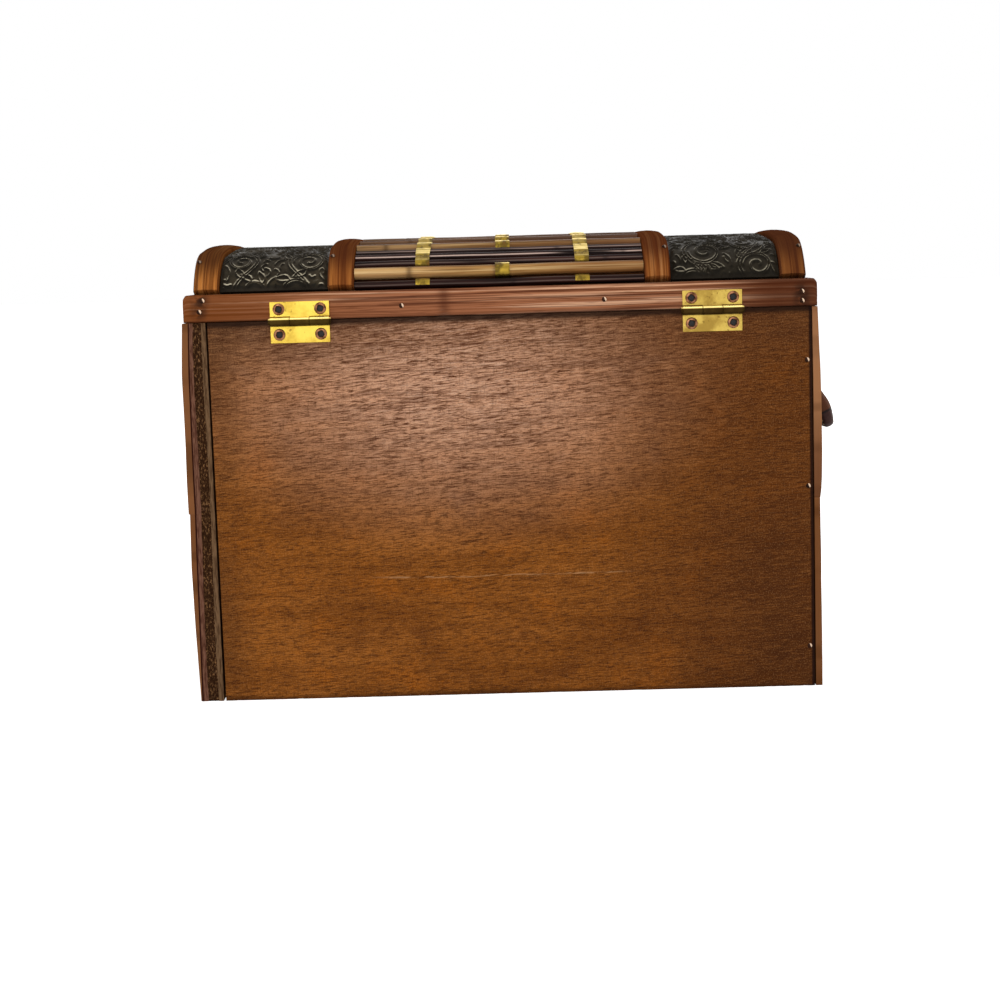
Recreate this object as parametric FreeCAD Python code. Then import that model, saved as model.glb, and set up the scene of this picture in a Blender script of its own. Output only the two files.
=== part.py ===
import FreeCAD
import Part
import math
import os

Vec = FreeCAD.Vector
tiny = 1e-6

# A small barrel-lidded chest. Millimetres, +Z up, front towards -Y, origin under the middle of the base.

# Plywood box, outside its bare walls
box_width = 314.0
box_depth = 170.0
box_height = 194.0
wall = 8.0
floor_thickness = 6.0
back_joint_gap = 1.0
running_gap = 0.05

# Bamboo trim of the box
slat = 3.0
front_trim = 7.5
corner_slat_width = 20.0
corner_slat_joint = 97.0
slat_end_gap = 0.6
box_rail_height = 14.0
strap_width = 13.2
strap_end_inset = 2.0
leather_bay_width = 55.1
leather = 1.2
padded_leather = 4.2
leather_margin = 0.3

# Lid
lid_gap = 0.8
lid_rail = 4.0
lid_rail_height = 14.0
lid_rail_corner = 5.0
lid_skin = 3.0
lid_rise = 33.8
lid_shoulder = 30.3
lid_end_board = 8.0
lid_batten_width = 12.0
lid_batten_height = 10.0
outer_rib = 5.9
inner_rib = 7.4

# Woven mat of canes, reeds and brass strips
cane = 6.4
reed = 4.6
lid_cane_pitch = 23.0
front_cane_pitch = 22.6
cane_to_reed_gap = 0.6
reed_gap = 0.5
mat_margin = 0.3
mat_tuck = 1.7
strip = 0.35
strip_width = 7.2
strip_pitch = 40.4
strip_middle = -1.8
strip_clearance = 0.1
strip_facet = 3.0

# Butt hinges
right_hinge_inset = 59.0
left_hinge_inset = 53.0
hinge_length = 30.0
hinge_leaf = 1.0
hinge_barrel = 4.2
hinge_pin = 2.2
hinge_pin_head = 3.4
hinge_pin_head_length = 0.8
hinge_barrel_gap = 0.3
upper_leaf_height = 7.5
lower_leaf_height = 8.5
leaf_to_barrel_gap = 0.3
knuckle_gap = 0.3
hinge_screw_inset = 4.5

# Screws and nails
screw_head = 6.0
screw_shank = 3.0
hinge_box_screw = 8.0
hinge_lid_screw = 12.0
screw_dome = 0.7
screw_slot = 0.8
screw_slot_length = 3.6
screw_slot_depth = 0.9
nail_head = 2.4
nail_dome = 0.6
nail_shank = 1.4
trim_nail = 8.0
front_nail = 14.0
panel_nail = 20.0
rib_nail = 7.0
nail_inset = 6.0
rib_nail_rise = 16.0
rib_nail_aside = 4.4
slat_nail_inset = 9.0
side_rail_nail_inset = 20.0
panel_nail_edge = 2.5
panel_nail_drops = (26.2, 90.3)
panel_nail_rise = 21.0
rail_middle_nails = ((49.6, 5.9), (-52.7, 6.2))
right_rail_end_nails = ((10.0, 11.0), (8.1, 5.4))
left_rail_end_nails = ((7.7, 2.8), (7.7, 7.6))
hole_clearance = 0.02
cut_over = 1.0

# Swinging leather handles
handle_below_rail = 29.0
handle_axis_out = 5.4
handle_thickness = 7.6
handle_length = 80.0
handle_arm = 13.0
handle_drop = 24.0
handle_grip = 10.0
handle_outer_corner = 9.0
handle_inner_corner = 5.0
handle_round = 3.2
handle_pin = 3.0
bracket_plate = 1.2
bracket_cheek = 1.4
bracket_eye = 6.0
bracket_side_gap = 0.4
bracket_top = 15.0
bracket_bottom = 6.0
bracket_screw_rise = 10.0
bracket_screw_length = 7.0
left_handle_angle = 25.0
right_handle_angle = 0.0

# Front hook and peg
latch_plate = 1.0
latch_plate_width = 14.0
latch_plate_height = 11.0
latch_nail_reach = 5.0
latch_stem = 6.0
latch_pin = 4.0
latch_head = 7.0
latch_head_height = 1.0
hook_thickness = 1.6
hook_play = 0.1
hook_eye = 9.0
hook_end = 11.0
hook_arm = 4.4
hook_slot_gap = 0.2
hook_standoff = 1.0

# Places that follow from the sizes above
half_width = box_width / 2
half_depth = box_depth / 2
trim_x = half_width + slat
trim_front = -half_depth - front_trim
inside_x = half_width - wall
inside_y = half_depth - wall
trim_top = box_height - box_rail_height
lid_bottom = box_height + lid_gap
rail_top = lid_bottom + lid_rail_height
lid_back = half_depth - lid_rail
lid_front = trim_front + lid_rail
lid_middle = (lid_back + lid_front) / 2
lid_half = (lid_back - lid_front) / 2
outer_strap_edge = half_width - strap_end_inset
bay_outer = outer_strap_edge - strap_width
bay_inner = bay_outer - leather_bay_width
lid_end_face = outer_strap_edge - leather
mat_half_width = bay_inner - strap_width
mat_lift = strip + 2 * strip_clearance
rib_sizes = (outer_rib, inner_rib, inner_rib, outer_rib)

# The lid's arch: two shoulders and a wide crown that meet tangentially
crown_radius = (lid_half**2 + lid_rise**2 - 2 * lid_half * lid_shoulder) / (2 * (lid_rise - lid_shoulder))
crown_drop = crown_radius - lid_rise
shoulder_y = lid_half - lid_shoulder
shoulder_turn = math.atan2(crown_drop, shoulder_y)
crown_half_arc = crown_radius * (math.pi / 2 - shoulder_turn)

screw_sink = (screw_head - screw_shank) / 2
hinge_y = half_depth + hinge_barrel_gap + hinge_barrel / 2
hinge_z = box_height + lid_gap / 2
hinge_stations = (trim_x - right_hinge_inset, left_hinge_inset - trim_x)

handle_height = trim_top - handle_below_rail
bracket_face = half_width + leather + bracket_plate
handle_axis_x = half_width + leather + handle_axis_out
arm_middle = handle_length / 2 - handle_arm / 2

hook_pivot_z = box_height - box_rail_height / 2
peg_z = lid_bottom + lid_rail_height / 2
hook_reach = peg_z - hook_pivot_z
latch_face = trim_front - latch_plate
hook_back = latch_face - hook_standoff
hook_front = hook_back - hook_thickness


def block(x0, x1, y0, y1, z0, z1):
    return Part.makeBox(x1 - x0, y1 - y0, z1 - z0, Vec(x0, y0, z0))


def rod(start, direction, length, diameter):
    return Part.makeCylinder(diameter / 2, length, start, direction)


def group(shapes):
    return Part.makeCompound(shapes)


def mirrored(shape):
    return shape.mirror(Vec(0, 0, 0), Vec(1, 0, 0))


def save(name, shape):
    shape.exportStep("parts/%s.step" % name)


def aimed(shape, point, direction):
    copy = shape.copy()
    copy.Placement = FreeCAD.Placement(point, FreeCAD.Rotation(Vec(0, 0, 1), direction))
    return copy


def turned(points_and_arcs):
    face = Part.Face(Part.Wire(points_and_arcs))
    return face.revolve(Vec(0, 0, 0), Vec(0, 0, 1), 360)


def line(a, b):
    return Part.makeLine(a, b)


def arc(a, b, c):
    return Part.Arc(a, b, c).toShape()


# Fasteners, drawn along +Z with the surface they sit on at zero

def headed_pin(head, dome, shank, sink, length):
    # a domed head of a sphere's cap, tapered by sink below its rim, on a straight shank
    sphere = (head**2 / 4 + dome**2) / (2 * dome)
    halfway = Vec(head / 4, 0, math.sqrt(sphere**2 - head**2 / 16) - sphere + dome)
    top = Vec(0, 0, dome)
    rim = Vec(head / 2, 0, 0)
    neck = Vec(shank / 2, 0, -sink)
    tip = Vec(shank / 2, 0, -length)
    end = Vec(0, 0, -length)
    dome_edge = arc(top, halfway, rim)
    return turned([dome_edge, line(rim, neck), line(neck, tip), line(tip, end), line(end, top)])


def nail_shape(length):
    return headed_pin(nail_head, nail_dome, nail_shank, 0, length)


def screw_shape(length):
    body = headed_pin(screw_head, screw_dome, screw_shank, screw_sink, length)
    reach = screw_slot_length / 2
    half = screw_slot / 2
    base = screw_dome - screw_slot_depth
    recess = block(-reach, reach, -half, half, base, screw_dome)
    recess = recess.fuse(block(-half, half, -reach, reach, base, screw_dome))
    return body.cut(recess)


def shank_hole(diameter, length):
    start = Vec(0, 0, -length - hole_clearance)
    return rod(start, Vec(0, 0, 1), length + cut_over, diameter + 2 * hole_clearance)


def screw_seat(length):
    rim = screw_head / 2 + hole_clearance
    cone = Part.makeCone(rim - screw_sink, rim, screw_sink, Vec(0, 0, -screw_sink))
    return cone.fuse(shank_hole(screw_shank, length))


class Fasteners:
    def __init__(self, shape, hole):
        self.shape = shape
        self.hole = hole
        self.pieces = []
        self.holes = []

    def drive(self, point, direction):
        self.pieces.append(aimed(self.shape, point, direction))
        self.holes.append(aimed(self.hole, point, direction))


def drilled(shape, fasteners):
    near = [hole for hole in fasteners.holes if hole.BoundBox.intersect(shape.BoundBox)]
    if not near:
        return shape
    result = shape.cut(group(near))
    return result.Solids[0] if len(result.Solids) == 1 else result


# Lid arch

def arch_at(along, out):
    reach = abs(along)
    side = 1 if along >= 0 else -1
    if reach <= crown_half_arc:
        turn = math.pi / 2 - reach / crown_radius
        y = (crown_radius + out) * math.cos(turn)
        z = (crown_radius + out) * math.sin(turn) - crown_drop
    else:
        turn = shoulder_turn - (reach - crown_half_arc) / lid_shoulder
        y = shoulder_y + (lid_shoulder + out) * math.cos(turn)
        z = (lid_shoulder + out) * math.sin(turn)
    return Vec(0, lid_middle + side * y, lid_bottom + z)


def arch_solid(x0, x1, out):
    springing = crown_half_arc + lid_shoulder * shoulder_turn
    stations = [springing, (springing + crown_half_arc) / 2, crown_half_arc, 0.0]
    back = [arch_at(s, out) for s in stations]
    front = [arch_at(-s, out) for s in stations]
    edges = [
        arc(back[0], back[1], back[2]),
        arc(back[2], back[3], front[2]),
        arc(front[2], front[1], front[0]),
        line(front[0], back[0]),
    ]
    face = Part.Face(Part.Wire(edges))
    face.translate(Vec(x0, 0, 0))
    return face.extrude(Vec(x1 - x0, 0, 0))


def arch_band(x0, x1, inner, outer, low):
    band = arch_solid(x0, x1, outer).cut(arch_solid(x0, x1, inner))
    high = lid_bottom + lid_rise + outer + cut_over
    above = block(x0, x1, trim_front, half_depth, low, high)
    return band.common(above).Solids[0]


# Woven mat, laid out along one direction from its middle

def mat_rows(half_length, pitch):
    # stations of the canes, and the bays of reeds between and beyond them
    edge = cane / 2 + cane_to_reed_gap
    count = 1 + int((2 * half_length - cane) / pitch)
    stations = [(k - (count - 1) / 2) * pitch for k in range(count)]
    bays = [(a + edge, b - edge) for a, b in zip(stations, stations[1:])]
    low, high = stations[0] - edge, stations[-1] + edge
    end_count = int((half_length - high + reed_gap) / (reed + reed_gap))
    end_length = end_count * (reed + reed_gap) - reed_gap
    if end_count > 0:
        bays = [(low - end_length, low)] + bays + [(high, high + end_length)]
    return stations, bays


def reed_stations(bays):
    stations = []
    for low, high in bays:
        count = int((high - low + reed_gap) / (reed + reed_gap) + tiny)
        step = (high - low - reed) / max(1, count - 1)
        stations += [low + reed / 2 + k * step for k in range(count)]
    return stations


def mat_rod(station, diameter, place):
    reach = mat_half_width - mat_margin
    start = place(station, mat_lift + diameter / 2) + Vec(-reach, 0, 0)
    return rod(start, Vec(1, 0, 0), 2 * reach, diameter)


def strip_runs(bays, is_middle):
    # the middle strip runs over the canes and under the reeds, the others only under the outermost canes
    low = strip_clearance + strip / 2
    reed_height = low if is_middle else low + mat_lift + reed
    gap = cane_to_reed_gap / 2
    runs = []
    start = bays[0][0]
    for index, (before, after) in enumerate(zip(bays, bays[1:])):
        outermost = index in (0, len(bays) - 2)
        cane_height = low if outermost and not is_middle else low + mat_lift + cane
        runs.append((start, before[1] + gap, reed_height))
        runs.append((before[1] + gap, after[0] - gap, cane_height))
        start = after[0] - gap
    runs.append((start, bays[-1][1], reed_height))
    return runs


def strip_side(runs, side, place):
    # one face of the strip; side is +1 for the outer face and -1 for the one towards the wood
    points = []
    for index, (start, end, height) in enumerate(runs):
        before = runs[index - 1][2] if index > 0 else height
        after = runs[index + 1][2] if index + 1 < len(runs) else height
        a = start + side * math.copysign(strip / 2, before - height) if before != height else start
        b = end + side * math.copysign(strip / 2, height - after) if after != height else end
        steps = max(1, math.ceil((b - a) / strip_facet))
        points += [place(a + (b - a) * k / steps, height + side * strip / 2) for k in range(steps + 1)]
    return points


def woven_strip(x_middle, runs, place):
    outer = strip_side(runs, 1, place)
    inner = strip_side(runs, -1, place)
    wire = Part.makePolygon(outer + inner[::-1] + outer[:1])
    face = Part.Face(wire)
    face.translate(Vec(x_middle - strip_width / 2, 0, 0))
    return face.extrude(Vec(strip_width, 0, 0))


def mat(prefix, half_length, pitch, place):
    stations, bays = mat_rows(half_length, pitch)
    save(prefix + "_mat_canes", group([mat_rod(s, cane, place) for s in stations]))
    save(prefix + "_mat_reeds", group([mat_rod(s, reed, place) for s in reed_stations(bays)]))
    strips = []
    for column in (-1, 0, 1):
        runs = strip_runs(bays, column == 0)
        strips.append(woven_strip(strip_middle + column * strip_pitch, runs, place))
    save(prefix + "_mat_strips", group(strips))


def front_at(along, out):
    return Vec(0, -half_depth - out, box_height / 2 + along)


def nail_set(length):
    return Fasteners(nail_shape(length), shank_hole(nail_shank, length))


def screw_set(length):
    return Fasteners(screw_shape(length), screw_seat(length))


trim_nails = nail_set(trim_nail)
front_nails = nail_set(front_nail)
panel_nails = nail_set(panel_nail)
rail_nails = nail_set(trim_nail)
rib_nails = nail_set(rib_nail)
lower_screws = screw_set(hinge_box_screw)
upper_screws = screw_set(hinge_lid_screw)
bracket_screws = screw_set(bracket_screw_length)


# Hinges

def hinge_screw_stations(middle):
    reach = hinge_length / 2 - hinge_screw_inset
    return (middle - reach, middle + reach)


def hinge_leaf_shape(middle, up):
    sign = 1 if up else -1
    radius = hinge_barrel / 2
    height = upper_leaf_height if up else lower_leaf_height
    near = radius + leaf_to_barrel_gap
    x0 = middle - hinge_length / 2
    third = hinge_length / 3
    knuckles = [1] if up else [0, 2]
    z0, z1 = sorted((hinge_z + sign * near, hinge_z + sign * (near + height)))
    leaf = block(x0, x0 + hinge_length, half_depth, half_depth + hinge_leaf, z0, z1)
    for k in knuckles:
        start = x0 + k * third + (knuckle_gap / 2 if k > 0 else 0)
        end = x0 + (k + 1) * third - (knuckle_gap / 2 if k < 2 else 0)
        w0, w1 = sorted((hinge_z, hinge_z + sign * near))
        leaf = leaf.fuse(block(start, end, half_depth, half_depth + hinge_leaf, w0, w1))
        leaf = leaf.fuse(rod(Vec(start, hinge_y, hinge_z), Vec(1, 0, 0), end - start, hinge_barrel))
    bore = hinge_pin + 2 * (running_gap if up else hole_clearance)
    leaf = leaf.cut(rod(Vec(x0, hinge_y, hinge_z), Vec(1, 0, 0), hinge_length, bore))
    return leaf.removeSplitter().Solids[0]


def hinge_pin_shape(middle):
    x0 = middle - hinge_length / 2
    shaft = rod(Vec(x0, hinge_y, hinge_z), Vec(1, 0, 0), hinge_length, hinge_pin)
    heads = [rod(Vec(x, hinge_y, hinge_z), Vec(1, 0, 0), hinge_pin_head_length, hinge_pin_head)
             for x in (x0 - hinge_pin_head_length, x0 + hinge_length)]
    return shaft.multiFuse(heads).removeSplitter()


def drive_hinge_screws():
    face = half_depth + hinge_leaf
    near = hinge_barrel / 2 + leaf_to_barrel_gap
    for middle in hinge_stations:
        for x in hinge_screw_stations(middle):
            upper_screws.drive(Vec(x, face, hinge_z + near + upper_leaf_height / 2), Vec(0, 1, 0))
            lower_screws.drive(Vec(x, face, hinge_z - near - lower_leaf_height / 2), Vec(0, 1, 0))


def make_hinges():
    for middle, name in zip(hinge_stations, ("right", "left")):
        save("%s_hinge_lid_leaf" % name, drilled(hinge_leaf_shape(middle, True), upper_screws))
        save("%s_hinge_box_leaf" % name, drilled(hinge_leaf_shape(middle, False), lower_screws))
    save("hinge_pins", group([hinge_pin_shape(middle) for middle in hinge_stations]))
    save("hinge_box_screws", group(lower_screws.pieces))
    save("hinge_lid_screws", group(upper_screws.pieces))


# Side handles, drawn for the +X side

def drive_bracket_screws():
    for side in (-1, 1):
        for y in (-arm_middle, arm_middle):
            for offset in (-1, 1):
                y_screw = y + offset * handle_arm / 4
                point = Vec(side * bracket_face, y_screw, handle_height + bracket_screw_rise)
                bracket_screws.drive(point, Vec(side, 0, 0))


def bracket_shape(y):
    half = handle_arm / 2 + bracket_side_gap
    outer = half + bracket_cheek
    plate = block(half_width + leather, bracket_face, y - outer, y + outer,
                  handle_height - bracket_bottom, handle_height + bracket_top)
    cheek_radius = bracket_eye / 2
    for y0 in (y - outer, y + half):
        web = block(half_width + leather, handle_axis_x, y0, y0 + bracket_cheek,
                    handle_height - cheek_radius, handle_height + cheek_radius)
        eye = rod(Vec(handle_axis_x, y0, handle_height), Vec(0, 1, 0), bracket_cheek, 2 * cheek_radius)
        plate = plate.multiFuse([web, eye])
    hole = rod(Vec(handle_axis_x, y - outer, handle_height), Vec(0, 1, 0), 2 * outer,
               handle_pin + 2 * hole_clearance)
    return plate.cut(hole).removeSplitter().Solids[0]


def handle_pin_shape(y):
    outer = handle_arm / 2 + bracket_side_gap + bracket_cheek
    return rod(Vec(handle_axis_x, y - outer, handle_height), Vec(0, 1, 0), 2 * outer, handle_pin)


def rounded_plate(y0, y1, z0, z1, x0, x1, corner):
    plate = block(x0, x1, y0, y1, z0, z1)
    low = [e for e in plate.Edges if e.BoundBox.XLength > e.BoundBox.ZLength + e.BoundBox.YLength
           and abs(e.BoundBox.ZMin - z0) < tiny]
    return plate.makeFillet(corner, low)


def handle_shape():
    x0 = handle_axis_x - handle_thickness / 2
    x1 = x0 + handle_thickness
    half = handle_length / 2
    inner = half - handle_arm
    gap_bottom = handle_height - handle_drop + handle_grip
    body = rounded_plate(-half, half, handle_height - handle_drop, handle_height,
                         x0, x1, handle_outer_corner)
    window = rounded_plate(-inner, inner, gap_bottom, handle_height + cut_over,
                           x0 - cut_over, x1 + cut_over, handle_inner_corner)
    body = body.cut(window)
    rims = [e for e in body.Edges if e.BoundBox.XLength < tiny and e.BoundBox.ZMin < handle_height - tiny]
    body = body.makeFillet(handle_round, rims)
    for y in (-arm_middle, arm_middle):
        start = Vec(handle_axis_x, y - handle_arm / 2, handle_height)
        body = body.fuse(rod(start, Vec(0, 1, 0), handle_arm, handle_thickness))
    bore = rod(Vec(handle_axis_x, -half, handle_height), Vec(0, 1, 0), handle_length,
               handle_pin + 2 * running_gap)
    return body.cut(bore).removeSplitter().Solids[0]


def swung_handle(side, swing):
    shape = handle_shape()
    shape.rotate(Vec(handle_axis_x, 0, handle_height), Vec(0, -1, 0), swing)
    return shape if side > 0 else mirrored(shape)


def make_handles():
    both_ends = (-arm_middle, arm_middle)
    for side, name, swing in ((1, "right", right_handle_angle), (-1, "left", left_handle_angle)):
        brackets = [bracket_shape(y) for y in both_ends]
        pins = [handle_pin_shape(y) for y in both_ends]
        if side < 0:
            brackets = [mirrored(b) for b in brackets]
            pins = [mirrored(p) for p in pins]
        save("%s_handle_brackets" % name, group([drilled(b, bracket_screws) for b in brackets]))
        save("%s_handle_pins" % name, group(pins))
        save("%s_handle" % name, swung_handle(side, swing))
    save("bracket_screws", group(bracket_screws.pieces))


# Front hook on the box and peg on the lid

def latch_stud(z):
    plate = block(-latch_plate_width / 2, latch_plate_width / 2, latch_face, trim_front,
                  z - latch_plate_height / 2, z + latch_plate_height / 2)
    forward = Vec(0, -1, 0)
    stem = rod(Vec(0, latch_face, z), forward, hook_standoff - hook_play, latch_stem)
    pin = rod(Vec(0, latch_face, z), forward, hook_standoff + hook_thickness + hook_play, latch_pin)
    head = rod(Vec(0, hook_front - hook_play, z), forward, latch_head_height, latch_head)
    return plate.multiFuse([stem, pin, head]).removeSplitter()


def hook_shape():
    start = Vec(0, hook_back, hook_pivot_z)
    low = Vec(0, hook_back, hook_pivot_z - hook_reach)
    forward = Vec(0, -1, 0)
    eye = rod(start, forward, hook_thickness, hook_eye)
    end = rod(low, forward, hook_thickness, hook_end)
    arm = block(-hook_arm / 2, hook_arm / 2, hook_front, hook_back, hook_pivot_z - hook_reach, hook_pivot_z)
    body = eye.multiFuse([end, arm])
    half_slot = latch_pin / 2 + hook_slot_gap
    ring = rod(start, forward, hook_thickness, 2 * (hook_reach + half_slot))
    ring = ring.cut(rod(start, forward, hook_thickness, 2 * (hook_reach - half_slot)))
    mouth = ring.common(block(0, hook_end, hook_front, hook_back,
                              hook_pivot_z - hook_reach - hook_end, hook_pivot_z))
    seat = rod(low, forward, hook_thickness, 2 * half_slot)
    pivot = rod(start, forward, hook_thickness, latch_pin + 2 * running_gap)
    return body.cut(group([mouth, seat, pivot])).removeSplitter().Solids[0]


def make_latch():
    save("hook_plate", drilled(latch_stud(hook_pivot_z), front_nails))
    save("lid_peg", drilled(latch_stud(peg_z), rail_nails))
    save("latch_hook", hook_shape())


# Box

def drive_box_nails():
    for z in [box_height - drop for drop in panel_nail_drops] + [panel_nail_rise]:
        panel_nails.drive(Vec(-half_width + panel_nail_edge, half_depth, z), Vec(0, 1, 0))
    slat_middle = half_depth - corner_slat_width / 2
    for side in (-1, 1):
        for y in (-slat_middle, slat_middle):
            for low, high in corner_slat_spans():
                for z in (low + slat_nail_inset, high - slat_nail_inset):
                    trim_nails.drive(Vec(side * trim_x, y, z), Vec(side, 0, 0))
        for z in (box_rail_height / 2, box_height - box_rail_height / 2):
            for y in (-slat_middle + corner_slat_width, slat_middle - corner_slat_width):
                trim_nails.drive(Vec(side * trim_x, y, z), Vec(side, 0, 0))
    for x in strap_middles():
        for z in (box_rail_height / 2, box_height - box_rail_height / 2,
                  box_rail_height + nail_inset, trim_top - nail_inset):
            front_nails.drive(Vec(x, trim_front, z), Vec(0, -1, 0))
    for x in (-latch_nail_reach, latch_nail_reach):
        front_nails.drive(Vec(x, latch_face, hook_pivot_z), Vec(0, -1, 0))


def strap_middles():
    outer = outer_strap_edge - strap_width / 2
    inner = bay_inner - strap_width / 2
    return (-outer, -inner, inner, outer)


def corner_slat_spans():
    return ((0.0, corner_slat_joint - slat_end_gap / 2),
            (corner_slat_joint + slat_end_gap / 2, box_height - slat_end_gap))


def wood(name, shape):
    for fasteners in (trim_nails, front_nails, panel_nails, lower_screws, bracket_screws):
        shape = drilled(shape, fasteners)
    save(name, shape)


def make_walls():
    # pinwheel corners: each wall laps one neighbour and butts against the other
    wood("back_panel", block(-half_width, inside_x - back_joint_gap, inside_y, half_depth, 0, box_height))
    wood("right_panel", block(inside_x, half_width, -inside_y, half_depth, 0, box_height))
    wood("front_panel", block(-inside_x, half_width, -half_depth, -inside_y, 0, box_height))
    wood("left_panel", block(-half_width, -inside_x, -half_depth, inside_y, 0, box_height))
    wood("floor_panel", block(-inside_x, inside_x, -inside_y, inside_y, 0, floor_thickness))


def make_side_trim():
    slat_y = half_depth - corner_slat_width
    for (low, high), name in zip(corner_slat_spans(), ("lower", "upper")):
        slats = []
        for x0, x1 in ((half_width, trim_x), (-trim_x, -half_width)):
            for y0, y1 in ((slat_y, half_depth), (-half_depth, -slat_y)):
                slats.append(drilled(block(x0, x1, y0, y1, low, high), trim_nails))
        save("%s_corner_slats" % name, group(slats))
    for z0, z1, name in ((0.0, box_rail_height, "bottom"), (trim_top, box_height - slat_end_gap, "top")):
        rails = [drilled(block(x0, x1, -slat_y, slat_y, z0, z1), trim_nails)
                 for x0, x1 in ((half_width, trim_x), (-trim_x, -half_width))]
        save("side_%s_rails" % name, group(rails))
    edge = slat_y - leather_margin
    panel = block(half_width, half_width + leather, -edge, edge,
                  box_rail_height + leather_margin, trim_top - leather_margin)
    wood("right_side_leather", panel)
    wood("left_side_leather", mirrored(panel))


def make_front_trim():
    wood("front_bottom_rail", block(-trim_x, trim_x, trim_front, -half_depth, 0, box_rail_height))
    wood("front_top_rail", block(-trim_x, trim_x, trim_front, -half_depth,
                                 trim_top, box_height - slat_end_gap))
    for number, x in enumerate(strap_middles(), 1):
        strap = block(x - strap_width / 2, x + strap_width / 2, trim_front, -half_depth,
                      box_rail_height, trim_top)
        wood("front_strap_%d" % number, strap)
    bay = block(bay_inner + leather_margin, bay_outer - leather_margin,
                -half_depth - padded_leather, -half_depth,
                box_rail_height + leather_margin, trim_top - leather_margin)
    save("front_right_leather", bay)
    save("front_left_leather", mirrored(bay))
    mat("front", box_height / 2 - box_rail_height - mat_margin, front_cane_pitch, front_at)


# Lid

def rail_nail_places():
    right_end = [(trim_x - inset, rise) for inset, rise in right_rail_end_nails]
    left_end = [(inset - trim_x, rise) for inset, rise in left_rail_end_nails]
    return list(rail_middle_nails) + right_end + left_end


def drive_lid_nails():
    for x, rise in rail_nail_places():
        rail_nails.drive(Vec(x, half_depth, lid_bottom + rise), Vec(0, 1, 0))
        rail_nails.drive(Vec(x, trim_front, lid_bottom + rise), Vec(0, -1, 0))
    for x in (-latch_nail_reach, latch_nail_reach):
        rail_nails.drive(Vec(x, latch_face, peg_z), Vec(0, -1, 0))
    for side in (-1, 1):
        for y in (lid_front + side_rail_nail_inset, lid_back - side_rail_nail_inset):
            rail_nails.drive(Vec(side * trim_x, y, lid_bottom + lid_rail_height / 2), Vec(side, 0, 0))
    for x, thickness in zip(strap_middles(), rib_sizes):
        for side in (-1, 1):
            along = side * (rib_foot() - rib_nail_rise)
            seat = arch_at(along, thickness)
            point = Vec(x + math.copysign(rib_nail_aside, x), seat.y, seat.z)
            rib_nails.drive(point, (seat - arch_at(along, 0)).normalize())


def rib_foot():
    # arc length from the crest to where the arch meets the top of the rail
    if lid_rail_height >= lid_shoulder * math.sin(shoulder_turn):
        return crown_radius * math.acos((crown_drop + lid_rail_height) / crown_radius)
    return crown_half_arc + lid_shoulder * (shoulder_turn - math.asin(lid_rail_height / lid_shoulder))


def lid_wood(name, shape):
    for fasteners in (rail_nails, rib_nails, upper_screws):
        shape = drilled(shape, fasteners)
    save(name, shape)


def make_lid_shell():
    lid_wood("lid_skin", arch_solid(-lid_end_face, lid_end_face, 0).cut(
        arch_solid(-lid_end_face, lid_end_face, -lid_skin)))
    board = arch_solid(lid_end_face - lid_end_board, lid_end_face, -lid_skin)
    lid_wood("lid_right_end", board)
    lid_wood("lid_left_end", mirrored(board))
    inner = lid_end_face - lid_end_board
    hollow = arch_solid(-inner, inner, -lid_skin)
    battens = []
    for y0, y1 in ((lid_back - lid_skin - lid_batten_width, lid_back),
                   (lid_front, lid_front + lid_skin + lid_batten_width)):
        strip_box = block(-inner, inner, y0, y1, lid_bottom, lid_bottom + lid_batten_height)
        batten = drilled(strip_box.common(hollow), upper_screws)
        battens.append(drilled(batten, rail_nails))
    save("lid_battens", group(battens))


def rail_shape(y0, y1):
    rail = block(-trim_x, trim_x, y0, y1, lid_bottom, rail_top)
    corners = [e for e in rail.Edges if e.BoundBox.YLength > e.BoundBox.XLength + e.BoundBox.ZLength
               and abs(e.BoundBox.ZMin - rail_top) < tiny]
    return rail.makeFillet(lid_rail_corner, corners)


def make_lid_rails():
    lid_wood("lid_back_rail", rail_shape(lid_back, half_depth))
    lid_wood("lid_front_rail", rail_shape(trim_front, lid_front))
    side = block(outer_strap_edge, trim_x, lid_front, lid_back, lid_bottom, rail_top)
    save("lid_side_rails", group([drilled(rail, rail_nails) for rail in (side, mirrored(side))]))


def make_lid_cover():
    half = strap_width / 2
    for number, (x, thickness) in enumerate(zip(strap_middles(), rib_sizes), 1):
        lid_wood("lid_rib_%d" % number, arch_band(x - half, x + half, 0, thickness, rail_top))
    bay = arch_band(bay_inner + leather_margin, bay_outer - leather_margin, 0, padded_leather, rail_top)
    save("lid_right_leather", bay)
    save("lid_left_leather", mirrored(bay))
    end = arch_solid(lid_end_face, outer_strap_edge, 0)
    lid_wood("lid_right_end_leather", end)
    lid_wood("lid_left_end_leather", mirrored(end))
    mat("lid", rib_foot() + mat_tuck, lid_cane_pitch, arch_at)
    save("lid_nails", group(rail_nails.pieces + rib_nails.pieces))


os.makedirs("parts", exist_ok=True)
drive_box_nails()
drive_lid_nails()
drive_hinge_screws()
drive_bracket_screws()
make_walls()
make_side_trim()
make_front_trim()
save("box_nails", group(panel_nails.pieces + trim_nails.pieces + front_nails.pieces))
make_lid_shell()
make_lid_rails()
make_lid_cover()
make_hinges()
make_handles()
make_latch()
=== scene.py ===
import bmesh
import bpy
import math
import numpy as np
from mathutils import Matrix, Vector, kdtree, noise


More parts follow.
